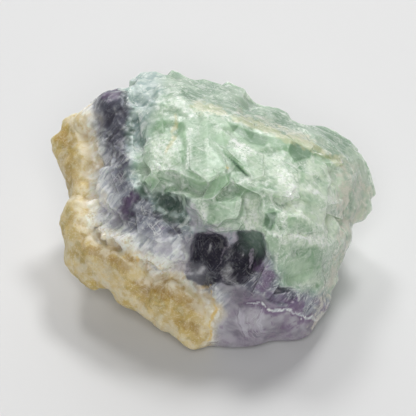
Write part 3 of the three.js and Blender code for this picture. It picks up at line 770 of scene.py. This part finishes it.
def crystal_corners(tree, corners):
    """A crystal's corners on the display face, and the same corners rooted in the stone."""
    visible = []
    eye = DISPLAY_MIDDLE + CAMERA_DISTANCE * OUT
    for across, up, rise in corners:
        way = unit(DISPLAY_MIDDLE + across * ACROSS + up * UP - eye)
        place, _, _, _ = tree.ray_cast(Vector(eye * MM), Vector(way))
        if place is not None:
            visible.append(np.array(place) / MM - RISE_SHARE * rise * way)
    middle = np.mean(visible, axis=0)
    rooted = [middle + ROOT_SPREAD * (corner - middle) - ROOT_DEPTH * OUT for corner in visible]
    return np.array(visible + rooted)


def scatter_tree(kinds, where):
    """Geometry nodes that scatter aligned cleavage blocks over the stone, sunk by a share of their size."""
    tree = bpy.data.node_groups.new(where, "GeometryNodeTree")
    sockets = tree.interface
    sockets.new_socket("Geometry", in_out="INPUT", socket_type="NodeSocketGeometry")
    sockets.new_socket("Geometry", in_out="OUTPUT", socket_type="NodeSocketGeometry")
    for name in ("Density", "Smallest", "Largest", "Sink", "Swing"):
        sockets.new_socket(name, in_out="INPUT", socket_type="NodeSocketFloat")
    sockets.new_socket("Seed", in_out="INPUT", socket_type="NodeSocketInt")
    sockets.new_socket("Material", in_out="INPUT", socket_type="NodeSocketMaterial")
    graph = Graph(tree)
    given = graph.node("NodeGroupInput").outputs
    wanted = graph.node("GeometryNodeInputNamedAttribute", data_type="FLOAT")
    wanted.inputs["Name"].default_value = where
    points = graph.node("GeometryNodeDistributePointsOnFaces", distribute_method="RANDOM")
    graph.put(points.inputs["Mesh"], given["Geometry"])
    graph.put(points.inputs["Density"], graph.times(wanted.outputs["Attribute"], given["Density"]))
    graph.put(points.inputs["Seed"], given["Seed"])
    size = graph.node("FunctionNodeRandomValue", data_type="FLOAT")
    graph.put(size.inputs[2], given["Smallest"])
    graph.put(size.inputs[3], given["Largest"])
    graph.put(size.inputs["Seed"], given["Seed"])
    size = size.outputs[1]
    inward = graph.node("ShaderNodeVectorMath", operation="SCALE")
    graph.put(inward.inputs[0], points.outputs["Normal"])
    graph.put(inward.inputs["Scale"], graph.times(size, given["Sink"]))
    sunk = graph.node("GeometryNodeSetPosition")
    graph.put(sunk.inputs["Geometry"], points.outputs["Points"])
    graph.put(sunk.inputs["Offset"], inward.outputs["Vector"])
    swing = graph.node("FunctionNodeRandomValue", data_type="FLOAT_VECTOR")
    graph.put(swing.inputs[0], graph.times(given["Swing"], -1.0))
    graph.put(swing.inputs[1], given["Swing"])
    blocks = graph.node("GeometryNodeCollectionInfo")
    for name, value in (("Collection", kinds), ("Separate Children", True), ("Reset Children", True)):
        blocks.inputs[name].default_value = value
    placed = graph.node("GeometryNodeInstanceOnPoints")
    graph.put(placed.inputs["Points"], sunk.outputs["Geometry"])
    graph.put(placed.inputs["Instance"], blocks.outputs["Instances"])
    placed.inputs["Pick Instance"].default_value = True
    graph.put(placed.inputs["Rotation"], swing.outputs[0])
    graph.put(placed.inputs["Scale"], size)
    joined = graph.node("GeometryNodeJoinGeometry")
    graph.put(joined.inputs["Geometry"], placed.outputs["Instances"])
    graph.put(joined.inputs["Geometry"], given["Geometry"])
    real = graph.node("GeometryNodeRealizeInstances")
    graph.put(real.inputs["Geometry"], joined.outputs["Geometry"])
    coloured = graph.node("GeometryNodeSetMaterial")
    graph.put(coloured.inputs["Geometry"], real.outputs["Geometry"])
    graph.put(coloured.inputs["Material"], given["Material"])
    graph.put(graph.node("NodeGroupOutput").inputs["Geometry"], coloured.outputs["Geometry"])
    return tree


def block_kinds():
    """A collection of differently cut blocks, all with the lattice's face directions and about one wide."""
    generator = np.random.default_rng(SEED)
    kinds = bpy.data.collections.new("cleavage_block_kinds")
    bpy.context.scene.collection.children.link(kinds)
    for number in range(BLOCK_KINDS):
        widths = [*generator.uniform(0.6, 1.0, 4), *generator.uniform(0.65, 1.0, 3)]
        corners = half_space_corners([*lattice_axes(), *lattice_cube_axes()], widths)
        mesh = hull_mesh(f"block_{number}", corners / MM)
        kinds.objects.link(bpy.data.objects.new(f"block_{number}", mesh))
    return kinds


def with_blocks(skin, material):
    """The form with its scattered cleavage blocks, as one mesh of overlapping closed shells."""
    mesh = skin.mesh("form")
    for name, values in block_masks(skin).items():
        mesh.attributes.new(name, "FLOAT", "POINT").data.foreach_set("value", values.astype(np.float32))
    holder = bpy.data.objects.new("form", mesh)
    bpy.context.scene.collection.objects.link(holder)
    kinds = block_kinds()
    trees = []
    for turn, (where, density, smallest, largest) in enumerate(BLOCKS):
        tree = scatter_tree(kinds, where)
        trees.append(tree)
        scatter = holder.modifiers.new(where, "NODES")
        scatter.node_group = tree
        values = {
            "Density": density, "Smallest": smallest * MM, "Largest": largest * MM, "Sink": -BLOCK_SINK,
            "Swing": BLOCK_SWING, "Seed": SEED + turn, "Material": material,
        }
        for socket in tree.interface.items_tree:
            if socket.name in values:
                scatter[socket.identifier] = values[socket.name]
    evaluated = holder.evaluated_get(bpy.context.evaluated_depsgraph_get())
    grown = bpy.data.meshes.new_from_object(evaluated)
    holder.modifiers.clear()
    bpy.data.objects.remove(holder)
    for block in list(kinds.objects):
        bpy.data.objects.remove(block)
    bpy.data.collections.remove(kinds)
    for tree in trees:
        bpy.data.node_groups.remove(tree)
    return grown


def with_crystals(skin, grown):
    """The same mesh with the named crystals added to it."""
    tree = skin.tree()
    joining = bmesh.new()
    joining.from_mesh(grown)
    for name, corners in CRYSTALS.items():
        joining.from_mesh(hull_mesh(name, crystal_corners(tree, corners)))
    joining.to_mesh(grown)
    joining.free()
    return grown


def block_masks(skin):
    """Where each size of block grows: on the crystal, away from its clear faces and the recess."""
    places = on_display(skin.points)
    from_crust = beyond(places, CRUST_EDGE)
    facing = skin.point_normals() @ OUT > 0.0
    outlines = [outline for _, outline in WINDOWS.values()] + [RECESS]
    outlines += [flat_outline(corners) for corners in CRYSTALS.values()]
    into_faces = np.max([inside(places, outline) for outline in outlines], axis=0)
    clear = smoothstep(-2.4, -1.2, into_faces) * facing
    close = smoothstep(-0.9, -0.2, into_faces) * facing
    patches = smoothstep(0.0, 0.5, noise_at(skin.points, 5.0, 30.0))
    clusters = smoothstep(-0.3, 0.3, noise_at(skin.points, 8.0, 31.0))
    green = smoothstep(0.0, 2.0, beyond(places, PURPLE_EDGE))
    above_toe = smoothstep(-15.5, -13.0, places[:, 1] + 0.25 * places[:, 0] - 2.0)
    turned = skin.smoothed(skin.point_normals(), 6) @ OUT
    before_back = 1.0 - smoothstep(-1.0, 0.5, beyond(places, BACK_EDGE))
    front = smoothstep(0.3, 0.6, turned) * before_back * above_toe
    behind = smoothstep(0.75, 0.9, -turned) * (1.0 - smoothstep(13.0, 17.0, np.linalg.norm(places, axis=1)))
    open_ground = front + 0.6 * behind
    seam = (1.0 - smoothstep(0.5, 1.8, np.abs(from_crust))) * (places[:, 1] < 22.0)
    crust_grains = smoothstep(0.1, 0.6, noise_at(skin.points, 3.5, 33.0)) * smoothstep(0.0, 1.0, -from_crust)
    crust_grains = np.maximum(0.35 * crust_grains, seam) * facing
    frost = strokes(places, FROST, 0.0) * facing
    frost = frost * (1.0 - smoothstep(-0.6, 0.4, inside(places, RECESS)))
    wide = smoothstep(2.5, 4.0, from_crust) * (1.0 - clear) * clusters * open_ground
    narrow = smoothstep(0.5, 1.5, from_crust) * np.maximum(patches * green * (1.0 - close), 0.5 * frost)
    return {
        "wide_blocks": wide * (1.0 - 0.8 * (1.0 - green) * facing),
        "narrow_blocks": narrow * open_ground,
        "grains": np.maximum(frost, crust_grains),
    }


def zones_of(skin):
    """How much of each quality every point of the skin has, from its place on the display face."""
    exact = on_display(skin.points)
    wander = np.column_stack([noise_at(skin.points, 2.4, shift) for shift in (3.0, 9.0)])
    ripple = np.column_stack([noise_at(skin.points, 0.8, shift) for shift in (5.0, 1.0)])
    places = exact + 0.5 * wander + 0.18 * ripple
    jitter = 0.5 * noise_at(skin.points, 0.9, 7.0) + 0.3 * wander[:, 0]
    facing = smoothstep(0.05, 0.3, skin.point_normals() @ OUT)
    recess = smoothstep(-0.15, 0.25, inside(0.5 * places + 0.5 * exact, RECESS))

    def near(corner, low, high):
        return 1.0 - smoothstep(low, high, np.linalg.norm(places - corner, axis=1))

    zones = {}
    for name, line, blend in (
        ("crust", CRUST_EDGE, 0.5), ("white", WHITE_EDGE, 1.9),
        ("purple", PURPLE_EDGE, 1.0), ("teal", TEAL_EDGE, 1.6),
    ):
        zones[name] = 1.0 - smoothstep(-blend, blend, beyond(places, line))
    for name, lines in (("dark", DARK), ("milky", MILKY), ("pale", PALE)):
        zones[name] = strokes(places, lines, jitter)
    for name, lines in (
        ("frost", FROST), ("violet", VIOLET), ("stain", STAIN), ("brown", BROWN), ("beige", BEIGE),
        ("ridge", RIDGES), ("gold", GOLD),
    ):
        zones[name] = strokes(places, lines, jitter) * facing
    zones["dark"] = np.maximum(zones["dark"], recess)
    zones["deep_green"] = recess * near(GREEN_CORNER, 0.8, 4.8)
    zones["darkest"] = recess * smoothstep(-0.2, 1.0, inside(places, RECESS))
    zones["faded"] = recess * near(FADED_CORNER, 0.6, 4.0)
    zones["purple"] = np.maximum(zones["purple"], recess)
    zones["white"] = zones["white"] * (1.0 - recess)
    crust_gap, _ = to_line(places, CRUST_EDGE)
    zones["cream"] = 1.0 - smoothstep(1.0, 3.5, crust_gap + 0.8 * wander[:, 0])
    # The back slope, where the green is painted partly darker as shade.
    zones["back"] = smoothstep(-0.6, 1.2, beyond(places, BACK_EDGE))
    panes = [clear * smoothstep(-0.1, 0.3, inside(exact, outline)) for clear, outline in WINDOWS.values()]
    zones["window"] = np.max(panes, axis=0) * facing
    zones["swirl"] = smoothstep(-0.3, 0.5, inside(exact, flat_outline(CRYSTALS["toe_lens"]))) * facing
    across, up = places.T
    zones["toe"] = smoothstep(-14.5, -16.5, up + 0.4 * across - 3.0) * smoothstep(1.0, 3.0, across)
    return zones


def terraces(points, axis, generator):
    """How far a stack of narrow cleavage steps moves each point along its axis."""
    narrowest, widest = 0.5, 1.0
    flatness = 0.3
    height = points @ axis + 0.7 * noise_at(points, 7.0, axis[0])
    steps = generator.uniform(narrowest, widest, 400)
    levels = height.min() - widest + np.cumsum(steps)
    index = np.searchsorted(levels, height)
    low, high = levels[index - 1], levels[index]
    share = (height - low) / (high - low)
    riser = 0.25
    tread = 1.0 - riser
    climbed = np.where(
        share < tread,
        flatness * share,
        flatness * tread + (1.0 - flatness * tread) * (share - tread) / riser,
    )
    mean_lag = 0.5 * tread * (1.0 - flatness)
    return (climbed - share + mean_lag) * (high - low)


def blades(points, generator):
    """Slanting blade-like ridges: each rises slowly across its width and then falls off sharply."""
    height = points @ lattice_axes()[2] + 1.1 * noise_at(points, 5.0, 70.0)
    levels = height.min() - 2.0 + np.cumsum(generator.uniform(0.8, 2.4, 200))
    index = np.searchsorted(levels, height)
    width = levels[index] - levels[index - 1]
    share = (height - levels[index - 1]) / width
    rise = np.where(share < 0.8, share / 0.8, (1.0 - share) / 0.2)
    return 0.2 * width * (rise - 0.5)


def stepped(skin, zones):
    """Adds narrow cleavage steps to the green crystal, and blades along the streaks of the bands."""
    generator = np.random.default_rng(SEED)
    crystal = 1.0 - zones["crust"]
    green = crystal * (1.0 - 0.9 * zones["window"]) * (1.0 - zones["purple"])
    for axis in lattice_axes():
        where = smoothstep(-0.2, 0.5, noise_at(skin.points, 4.0, 40.0 + axis[1])) * green
        step = terraces(skin.points, axis, generator)
        skin.points = skin.points + (0.4 * step * where)[:, None] * axis
    skin.move_towards(skin.smoothed(skin.points, LATE_TOE_ROUNDS), zones["toe"])
    rounded = skin.relaxed(skin.points, 4)
    gather_into_faces(skin, rounds=2, likeness=0.8, settles=3, hold=0.15)
    skin.points = rounded + crystal[:, None] * (skin.points - rounded)
    skin.points = 0.5 * skin.points + 0.5 * skin.relaxed(skin.points, 3)
    places = on_display(skin.points)
    banded = zones["purple"] * crystal * (1.0 - smoothstep(-0.5, 0.5, inside(places, RECESS)))
    banded = banded * (1.0 - smoothstep(-13.0, -16.0, places[:, 1]))
    banded = banded * smoothstep(-0.5, 0.3, noise_at(skin.points, 6.0, 50.0))
    height = banded * blades(skin.points, generator)
    skin.points = skin.points + height[:, None] * skin.point_normals()


def roughen(skin, zones):
    """Grains on the crust and in the frost."""
    lumps = 0.28 * noise_at(skin.points, 3.4, 60.0) + 0.1 * noise_at(skin.points, 1.3, 61.0)
    grains = 0.07 * noise_at(skin.points, 0.7, 62.0)
    rise = lumps * zones["crust"] + grains * np.maximum(zones["frost"], zones["white"] * (1 - zones["crust"]))
    skin.points = skin.points + rise[:, None] * skin.point_normals()


def sharp_edges(skin):
    """How much each point stands out of the skin around it."""
    standing = ((skin.points - skin.smoothed(skin.points, 8)) * skin.point_normals()).sum(axis=1)
    return smoothstep(0.02, 0.16, standing)


def srgb(red, green, blue):
    """A colour named as it shows on a screen, 0 to 255, in the linear values that shaders take."""
    shown = [channel / 255.0 for channel in (red, green, blue)]
    linear = [c / 12.92 if c <= 0.04045 else ((c + 0.055) / 1.055) ** 2.4 for c in shown]
    return (*linear, 1.0)


class Graph:
    """Short ways to add and link nodes."""

    def __init__(self, tree):
        self.tree = tree

    def node(self, kind, **settings):
        made = self.tree.nodes.new(kind)
        for name, value in settings.items():
            setattr(made, name, value)
        return made

    def put(self, socket, value):
        if isinstance(value, bpy.types.NodeSocket):
            self.tree.links.new(value, socket)
        else:
            socket.default_value = value

    def math(self, operation, first, second=0.0, clamp=False):
        made = self.node("ShaderNodeMath", operation=operation, use_clamp=clamp)
        self.put(made.inputs[0], first)
        self.put(made.inputs[1], second)
        return made.outputs[0]

    def times(self, first, *others):
        for other in others:
            first = self.math("MULTIPLY", first, other)
        return first

    def most(self, first, second):
        return self.math("MAXIMUM", first, second)


class Paint(Graph):
    """A material's nodes: patterns in the stone's own millimetres, and colours laid over each other."""

    def __init__(self, tree):
        super().__init__(tree)
        in_metres = self.node("ShaderNodeTexCoord").outputs["Object"]
        scaled = self.node("ShaderNodeVectorMath", operation="SCALE")
        self.put(scaled.inputs[0], in_metres)
        scaled.inputs["Scale"].default_value = 1.0 / MM
        self.places = scaled.outputs["Vector"]
        self.broad = self.clouds(5.0, detail=3.0, distortion=0.4)
        self.middle = self.clouds(1.8, detail=5.0, roughness=0.6, distortion=0.5)
        self.fine = self.clouds(0.45, roughness=0.65)
        self.streaks = self.clouds(0.7, self.drawn_out(STREAK_WAY, 5.0), roughness=0.55)
        self.soft_streaks = self.clouds(1.4, self.drawn_out(STREAK_WAY, 4.0), detail=3.0)
        thin = self.clouds(0.35, self.drawn_out(STREAK_WAY, 7.0), detail=3.0)
        self.thin_streaks = self.times(self.between(thin, 0.54, 0.64), self.between(self.broad, 0.42, 0.56))
        self.veins = self.clouds(0.8, self.drawn_out(VEIN_WAY, 6.0), roughness=0.6)

    def quality(self, name):
        return self.node("ShaderNodeAttribute", attribute_name=name).outputs["Fac"]

    def between(self, value, low, high, to_low=0.0, to_high=1.0):
        """A value's share of the way from low to high, eased, and then spread over another range."""
        made = self.node("ShaderNodeMapRange", interpolation_type="SMOOTHSTEP")
        names = ("Value", "From Min", "From Max", "To Min", "To Max")
        for name, given in zip(names, (value, low, high, to_low, to_high)):
            self.put(made.inputs[name], given)
        return made.outputs["Result"]

    def less_where(self, name, left):
        """One where a quality is absent, and what is left of it where the quality is full."""
        return self.between(self.quality(name), 0.0, 1.0, 1.0, left)

    def mix(self, share, first, second):
        made = self.node("ShaderNodeMix", data_type="RGBA")
        self.put(made.inputs["Factor"], share)
        self.put(made.inputs[6], first)
        self.put(made.inputs[7], second)
        return made.outputs[2]

    def blend(self, share, first, second):
        """A blend of two named colours."""
        return self.mix(share, srgb(*first), srgb(*second))

    def tint(self, colour, share, *named):
        """A colour with a share of a named one over it."""
        return self.mix(share, colour, srgb(*named))

    def clouds(self, size, places=None, detail=4.0, roughness=0.5, distortion=0.0):
        made = self.node("ShaderNodeTexNoise")
        self.put(made.inputs["Vector"], places or self.places)
        settings = {"Scale": 1.0 / size, "Detail": detail, "Roughness": roughness, "Distortion": distortion}
        for name, value in settings.items():
            made.inputs[name].default_value = value
        return made.outputs["Fac"]

    def drawn_out(self, way, stretch):
        """The same places drawn in along one way, which draws a pattern out along it."""
        way = unit(np.array(way))
        aside = unit(np.cross(way, OUT))
        turned = self.node("ShaderNodeCombineXYZ")
        for i, axis in enumerate((way / stretch, aside, np.cross(way, aside))):
            along = self.node("ShaderNodeVectorMath", operation="DOT_PRODUCT")
            self.put(along.inputs[0], self.places)
            along.inputs[1].default_value = tuple(axis)
            self.put(turned.inputs[i], along.outputs["Value"])
        return turned.outputs["Vector"]

    def thin_lines(self, operation, vector, size, bend, width, detail):
        """Thin bent lines, irregularly spaced: across an axis, or as arcs around a place."""
        measured = self.node("ShaderNodeVectorMath", operation=operation)
        self.put(measured.inputs[0], self.places)
        measured.inputs[1].default_value = tuple(vector)
        wave = self.clouds(3.0, detail=detail)
        line = self.node("ShaderNodeTexNoise", noise_dimensions="1D")
        self.put(line.inputs["W"], self.math("ADD", measured.outputs["Value"], self.times(wave, bend)))
        line.inputs["Scale"].default_value = 1.0 / size
        line.inputs["Detail"].default_value = 2.0
        off_middle = self.math("ABSOLUTE", self.math("SUBTRACT", line.outputs["Fac"], 0.5))
        return self.between(off_middle, 0.0, width, 1.0, 0.0)

    def sheet_lines(self, axis, size, width):
        """Lines where flat sheets across an axis meet the surface."""
        return self.thin_lines("DOT_PRODUCT", axis, size, 1.2, width, detail=2.0)

    def arcs(self, middle, size, bend, width):
        """Arcs around a place, as on a curved break."""
        return self.thin_lines("DISTANCE", middle, size, bend, width, detail=3.0)


def green_colour(paint, window, clear):
    """Cloudy green crystal with white veils, veins and clear faces; its pale patches are partly painted
    light, and its greyer, darker back slope is partly painted shade.
    """
    middle = paint.middle
    # pale: paler facets, partly painted light on the right of the display face.
    pale = paint.times(paint.quality("pale"), paint.between(middle, 0.36, 0.6, 0.95, 0.45))
    veil = paint.clouds(1.1, detail=6.0, roughness=0.7, distortion=1.2)
    spots = paint.clouds(1.5, detail=3.0, distortion=1.0)
    green = paint.blend(paint.between(middle, 0.35, 0.65), (188, 205, 186), (160, 183, 159))
    green = paint.tint(green, paint.between(veil, 0.5, 0.64, 0.0, 0.6), 222, 229, 219)
    green = paint.tint(green, paint.between(paint.veins, 0.56, 0.66, 0.0, 0.5), 228, 233, 224)
    green = paint.tint(green, paint.between(spots, 0.54, 0.6, 0.0, 0.6), 136, 166, 137)
    green = paint.tint(green, pale, 220, 230, 212)
    glassy = paint.blend(paint.between(paint.broad, 0.35, 0.65), (166, 193, 163), (140, 172, 139))
    glassy = paint.tint(glassy, paint.times(pale, 0.7), 190, 212, 186)
    green = paint.mix(paint.times(clear, 0.9), green, glassy)
    # Clearness above one darkens the green further; on the steps under the crest this is painted shade.
    green = paint.tint(green, paint.between(window, 1.0, 2.0), 96, 124, 101)
    # The back slope: greyer and darker, partly the crystal's own tone and partly painted shade over the slope
    # that the lamps behind light most.
    far = paint.blend(paint.between(paint.broad, 0.38, 0.6), (160, 178, 160), (128, 152, 132))
    far = paint.tint(far, paint.between(paint.veins, 0.5, 0.64, 0.0, 0.6), 186, 198, 184)
    far = paint.tint(far, paint.times(pale, 0.8), 194, 206, 188)
    return paint.mix(paint.times(paint.quality("back"), 0.92), green, far)


def purple_colour(paint, dark):
    """Streaked slate band, the toe's lavender, the dark recess and the violet patches."""
    middle = paint.middle
    slate = paint.blend(paint.between(paint.streaks, 0.36, 0.64), (132, 135, 146), (172, 175, 182))
    slate = paint.tint(slate, paint.between(paint.soft_streaks, 0.45, 0.6), 116, 117, 130)
    slate = paint.tint(slate, paint.times(paint.thin_streaks, 0.75), 212, 214, 216)
    slate = paint.tint(slate, paint.between(middle, 0.55, 0.7, 0.0, 0.8), 138, 126, 146)
    toe = paint.blend(paint.between(paint.broad, 0.38, 0.6), (136, 130, 142), (178, 175, 182))
    toe = paint.tint(toe, paint.between(middle, 0.5, 0.64, 0.0, 0.7), 132, 114, 138)
    slate = paint.mix(paint.quality("toe"), slate, toe)
    indigo = paint.blend(paint.between(paint.soft_streaks, 0.4, 0.65), (68, 66, 78), (92, 93, 104))
    indigo = paint.tint(indigo, paint.quality("darkest"), 44, 40, 54)
    indigo = paint.tint(indigo, paint.times(paint.thin_streaks, 0.2), 150, 150, 160)
    indigo = paint.tint(indigo, paint.quality("faded"), 122, 122, 128)
    indigo = paint.tint(indigo, paint.quality("deep_green"), 112, 136, 120)
    purple = paint.mix(paint.times(dark, 0.95), slate, indigo)
    return paint.tint(purple, paint.times(paint.quality("violet"), 0.7), 114, 86, 124)


def white_colour(paint):
    """Streaked white band, creamy beside the crust."""
    white = paint.blend(paint.between(paint.streaks, 0.38, 0.6), (176, 180, 187), (226, 228, 227))
    white = paint.tint(white, paint.between(paint.broad, 0.48, 0.62, 0.0, 0.8), 190, 188, 196)
    creamy = paint.blend(paint.between(paint.middle, 0.4, 0.6), (218, 206, 178), (234, 230, 216))
    return paint.mix(paint.quality("cream"), white, creamy)


def crust_colour(paint):
    """Ochre crust with brown and milky patches, sugary grains and pale edges."""
    middle = paint.middle
    milk = paint.clouds(2.6, detail=8.0, roughness=0.72, distortion=0.8)
    sugar = paint.clouds(0.32, detail=2.0, roughness=0.7)
    ochre = paint.blend(paint.between(paint.broad, 0.38, 0.62), (211, 190, 134), (192, 167, 98))
    ochre = paint.tint(ochre, paint.between(middle, 0.5, 0.6, 0.0, 0.6), 170, 152, 92)
    ochre = paint.tint(ochre, paint.times(paint.quality("brown"), 0.8), 164, 128, 58)
    ochre = paint.tint(ochre, paint.between(milk, 0.46, 0.66, 0.0, 0.6), 222, 213, 184)
    ochre = paint.tint(ochre, paint.between(sugar, 0.55, 0.66, 0.0, 0.35), 240, 234, 216)
    ochre = paint.tint(ochre, paint.times(paint.quality("edge"), 0.55), 236, 228, 206)
    rim = paint.times(paint.quality("cream"), paint.between(middle, 0.4, 0.6, 0.1, 0.75))
    ochre = paint.tint(ochre, rim, 230, 222, 200)
    milky = paint.times(paint.quality("milky"), paint.between(middle, 0.36, 0.6, 0.15, 0.75))
    return paint.tint(ochre, milky, 228, 221, 202)


def whiteness(paint, frost, lines, clear, dark):
    """How white the crystal is: from frost, bruised edges, inner sheets and sugary grains."""
    edges = paint.times(paint.quality("edge"), 0.5, paint.between(paint.middle, 0.38, 0.58))
    edges = paint.times(edges, paint.less_where("purple", 0.35), paint.less_where("toe", 0.3))
    white = paint.most(frost, edges)
    white = paint.most(white, paint.times(lines, 0.6))
    cluster = paint.between(paint.clouds(2.6, detail=2.0), 0.46, 0.58)
    cluster = paint.times(cluster, paint.less_where("toe", 0.15), paint.less_where("purple", 0.5))
    grainy = paint.between(paint.clouds(0.5, detail=3.0, roughness=0.7), 0.55, 0.66, 0.0, 0.8)
    white = paint.most(white, paint.times(grainy, cluster))
    kept = paint.math("SUBTRACT", 1.0, paint.times(paint.most(clear, dark), 0.75))
    return paint.times(white, kept, paint.less_where("violet", 0.3))


def fluorite_material():
    material = bpy.data.materials.new("banded_fluorite")
    material.use_nodes = True
    shader = material.node_tree.nodes["Principled BSDF"]
    paint = Paint(material.node_tree)
    middle = paint.middle
    lines = 0.0
    for axis, size, width in zip(lattice_axes(), (2.4, 1.9, 3.2, 2.8), (0.02, 0.03, 0.02, 0.025)):
        lines = paint.most(lines, paint.sheet_lines(axis, size, width))
    lines = paint.times(lines, paint.between(middle, 0.46, 0.62), paint.less_where("toe", 0.25))
    window = paint.quality("window")
    dark = paint.quality("dark")
    cloudy = paint.between(paint.broad, 0.5, 0.66, 0.0, 0.5)
    clear = paint.math("MAXIMUM", window, cloudy, clamp=True)
    sugar = paint.math("ADD", paint.times(paint.fine, 0.6), paint.times(middle, 0.4))
    frost = paint.times(paint.quality("frost"), paint.between(sugar, 0.4, 0.58))

    teal = paint.blend(paint.between(paint.soft_streaks, 0.4, 0.6), (146, 166, 162), (180, 194, 189))
    colour = paint.mix(paint.quality("teal"), green_colour(paint, window, clear), teal)
    colour = paint.tint(colour, paint.times(dark, 0.85), 64, 86, 72)
    colour = paint.mix(paint.quality("purple"), colour, purple_colour(paint, dark))
    colour = paint.mix(paint.quality("white"), colour, white_colour(paint))
    colour = paint.tint(colour, whiteness(paint, frost, lines, clear, dark), 234, 238, 231)
    arcs = paint.times(paint.arcs(BREAK_MIDDLE, 1.6, 2.5, 0.03), dark)
    colour = paint.tint(colour, paint.times(arcs, paint.between(middle, 0.4, 0.6, 0.0, 0.25)), 150, 152, 164)
    swirls = paint.times(paint.arcs(SWIRL_MIDDLE, 1.1, 3.0, 0.08), paint.quality("swirl"), 0.6)
    colour = paint.tint(colour, swirls, 206, 204, 212)
    colour = paint.mix(paint.quality("crust"), colour, crust_colour(paint))
    for name, pattern, named in (
        ("beige", paint.between(middle, 0.36, 0.6), (216, 213, 199)),
        ("ridge", paint.between(paint.fine, 0.3, 0.55, 0.3, 1.0), (180, 172, 184)),
        ("stain", 0.5, (222, 204, 146)),
        ("gold", paint.between(middle, 0.36, 0.54, 0.15, 0.8), (220, 190, 108)),
    ):
        colour = paint.tint(colour, paint.times(paint.quality(name), pattern), *named)
    paint.put(shader.inputs["Base Color"], colour)

    dull = paint.most(frost, paint.quality("crust"))
    dull = paint.most(dull, paint.times(paint.quality("toe"), 0.7))
    paint.put(shader.inputs["Roughness"], paint.between(dull, 0.0, 1.0, 0.18, 0.6))
    shader.inputs["IOR"].default_value = FLUORITE_IOR
    shader.inputs["Subsurface Weight"].default_value = 1.0
    shader.inputs["Subsurface Radius"].default_value = GLOW_SHARES
    shader.inputs["Subsurface Scale"].default_value = GLOW_REACH * MM
    bump = paint.node("ShaderNodeBump")
    bump.inputs["Strength"].default_value = 0.5
    bump.inputs["Distance"].default_value = BUMP_HEIGHT * MM
    paint.put(bump.inputs["Height"], paint.math("ADD", paint.fine, paint.times(lines, 0.4)))
    paint.put(shader.inputs["Normal"], bump.outputs["Normal"])
    return material


def thin_out(stone, skin):
    """Joins the small triangles of the underside and the far side, which show no fine detail."""
    hidden = 1.0 - smoothstep(-0.45, -0.1, skin.smoothed(skin.point_normals(), 4) @ OUT)
    group = stone.vertex_groups.new(name="far_side")
    for number, share in enumerate(hidden):
        group.add([number], 0.02 + 0.98 * share, "REPLACE")
    thinning = stone.modifiers.new("thinning", "DECIMATE")
    thinning.ratio = min(1.0, MOST_TRIANGLES / (2.0 * len(skin.quads)))
    thinning.vertex_group = "far_side"
    thinning.vertex_group_factor = 10.0
    evaluated = stone.evaluated_get(bpy.context.evaluated_depsgraph_get())
    thinned = bpy.data.meshes.new_from_object(evaluated)
    stone.modifiers.clear()
    stone.vertex_groups.clear()
    stone.data = thinned


def make_stone(skin, zones, material):
    mesh = skin.mesh("fluorite_stone")
    for name, values in zones.items():
        attribute = mesh.attributes.new(name, "FLOAT", "POINT")
        attribute.data.foreach_set("value", np.clip(values, 0.0, 2.0).astype(np.float32))
    stone = bpy.data.objects.new("fluorite_stone", mesh)
    bpy.context.scene.collection.objects.link(stone)
    thin_out(stone, skin)
    stone.data.materials.append(material)
    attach(stone, "root")
    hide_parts("fluorite")


def pale_floor():
    mesh = bpy.data.meshes.new("floor")
    half = FLOOR_HALF_WIDTH
    corners = [(-half, -half, 0), (half, -half, 0), (half, half, 0), (-half, half, 0)]
    mesh.from_pydata(corners, [], [(0, 1, 2, 3)])
    floor = bpy.data.objects.new("floor", mesh)
    bpy.context.scene.collection.objects.link(floor)
    material = bpy.data.materials.new("pale_floor")
    material.use_nodes = True
    shader = material.node_tree.nodes["Principled BSDF"]
    shader.inputs["Base Color"].default_value = (FLOOR_GREY, FLOOR_GREY, FLOOR_GREY, 1)
    shader.inputs["Roughness"].default_value = FLOOR_ROUGHNESS
    mesh.materials.append(material)


def soft_light():
    world = bpy.data.worlds.new("studio")
    world.use_nodes = True
    background = world.node_tree.nodes["Background"]
    background.inputs["Color"].default_value = (1, 1, 1, 1)
    background.inputs["Strength"].default_value = SKY
    bpy.context.scene.world = world
    for name, (azimuth, elevation, width, watts) in LAMPS.items():
        light = bpy.data.lights.new(name, "AREA")
        light.shape = "DISK"
        light.size = width
        light.energy = watts
        lamp = bpy.data.objects.new(name, light)
        turn = math.radians(azimuth)
        climb = math.radians(elevation)
        way = Vector((math.sin(turn) * math.cos(climb), math.cos(turn) * math.cos(climb), math.sin(climb)))
        lamp.location = LAMP_DISTANCE * way
        lamp.rotation_euler = (LAMP_AIM - lamp.location).to_track_quat("-Z", "Y").to_euler()
        bpy.context.scene.collection.objects.link(lamp)


def camera():
    lens = bpy.data.cameras.new("camera")
    lens.sensor_width = SENSOR_WIDTH
    lens.lens = SENSOR_WIDTH * CAMERA_DISTANCE / VIEW_WIDTH
    lens.clip_start = NEAREST_SEEN
    made = bpy.data.objects.new("camera", lens)
    made.location = Vector((DISPLAY_MIDDLE + CAMERA_DISTANCE * OUT) * MM)
    made.rotation_euler = Vector(-OUT).to_track_quat("-Z", "Y").to_euler()
    bpy.context.scene.collection.objects.link(made)
    bpy.context.scene.camera = made
    bpy.context.scene.view_settings.view_transform = "Standard"


def main():
    material = fluorite_material()
    skin = skin_of_stone(material)
    zones = zones_of(skin)
    stepped(skin, zones)
    roughen(skin, zones)
    zones["edge"] = sharp_edges(skin)
    skin.points[:, 2] = np.maximum(skin.points[:, 2], 0.0)
    make_stone(skin, zones, material)
    pale_floor()
    soft_light()
    camera()


main()
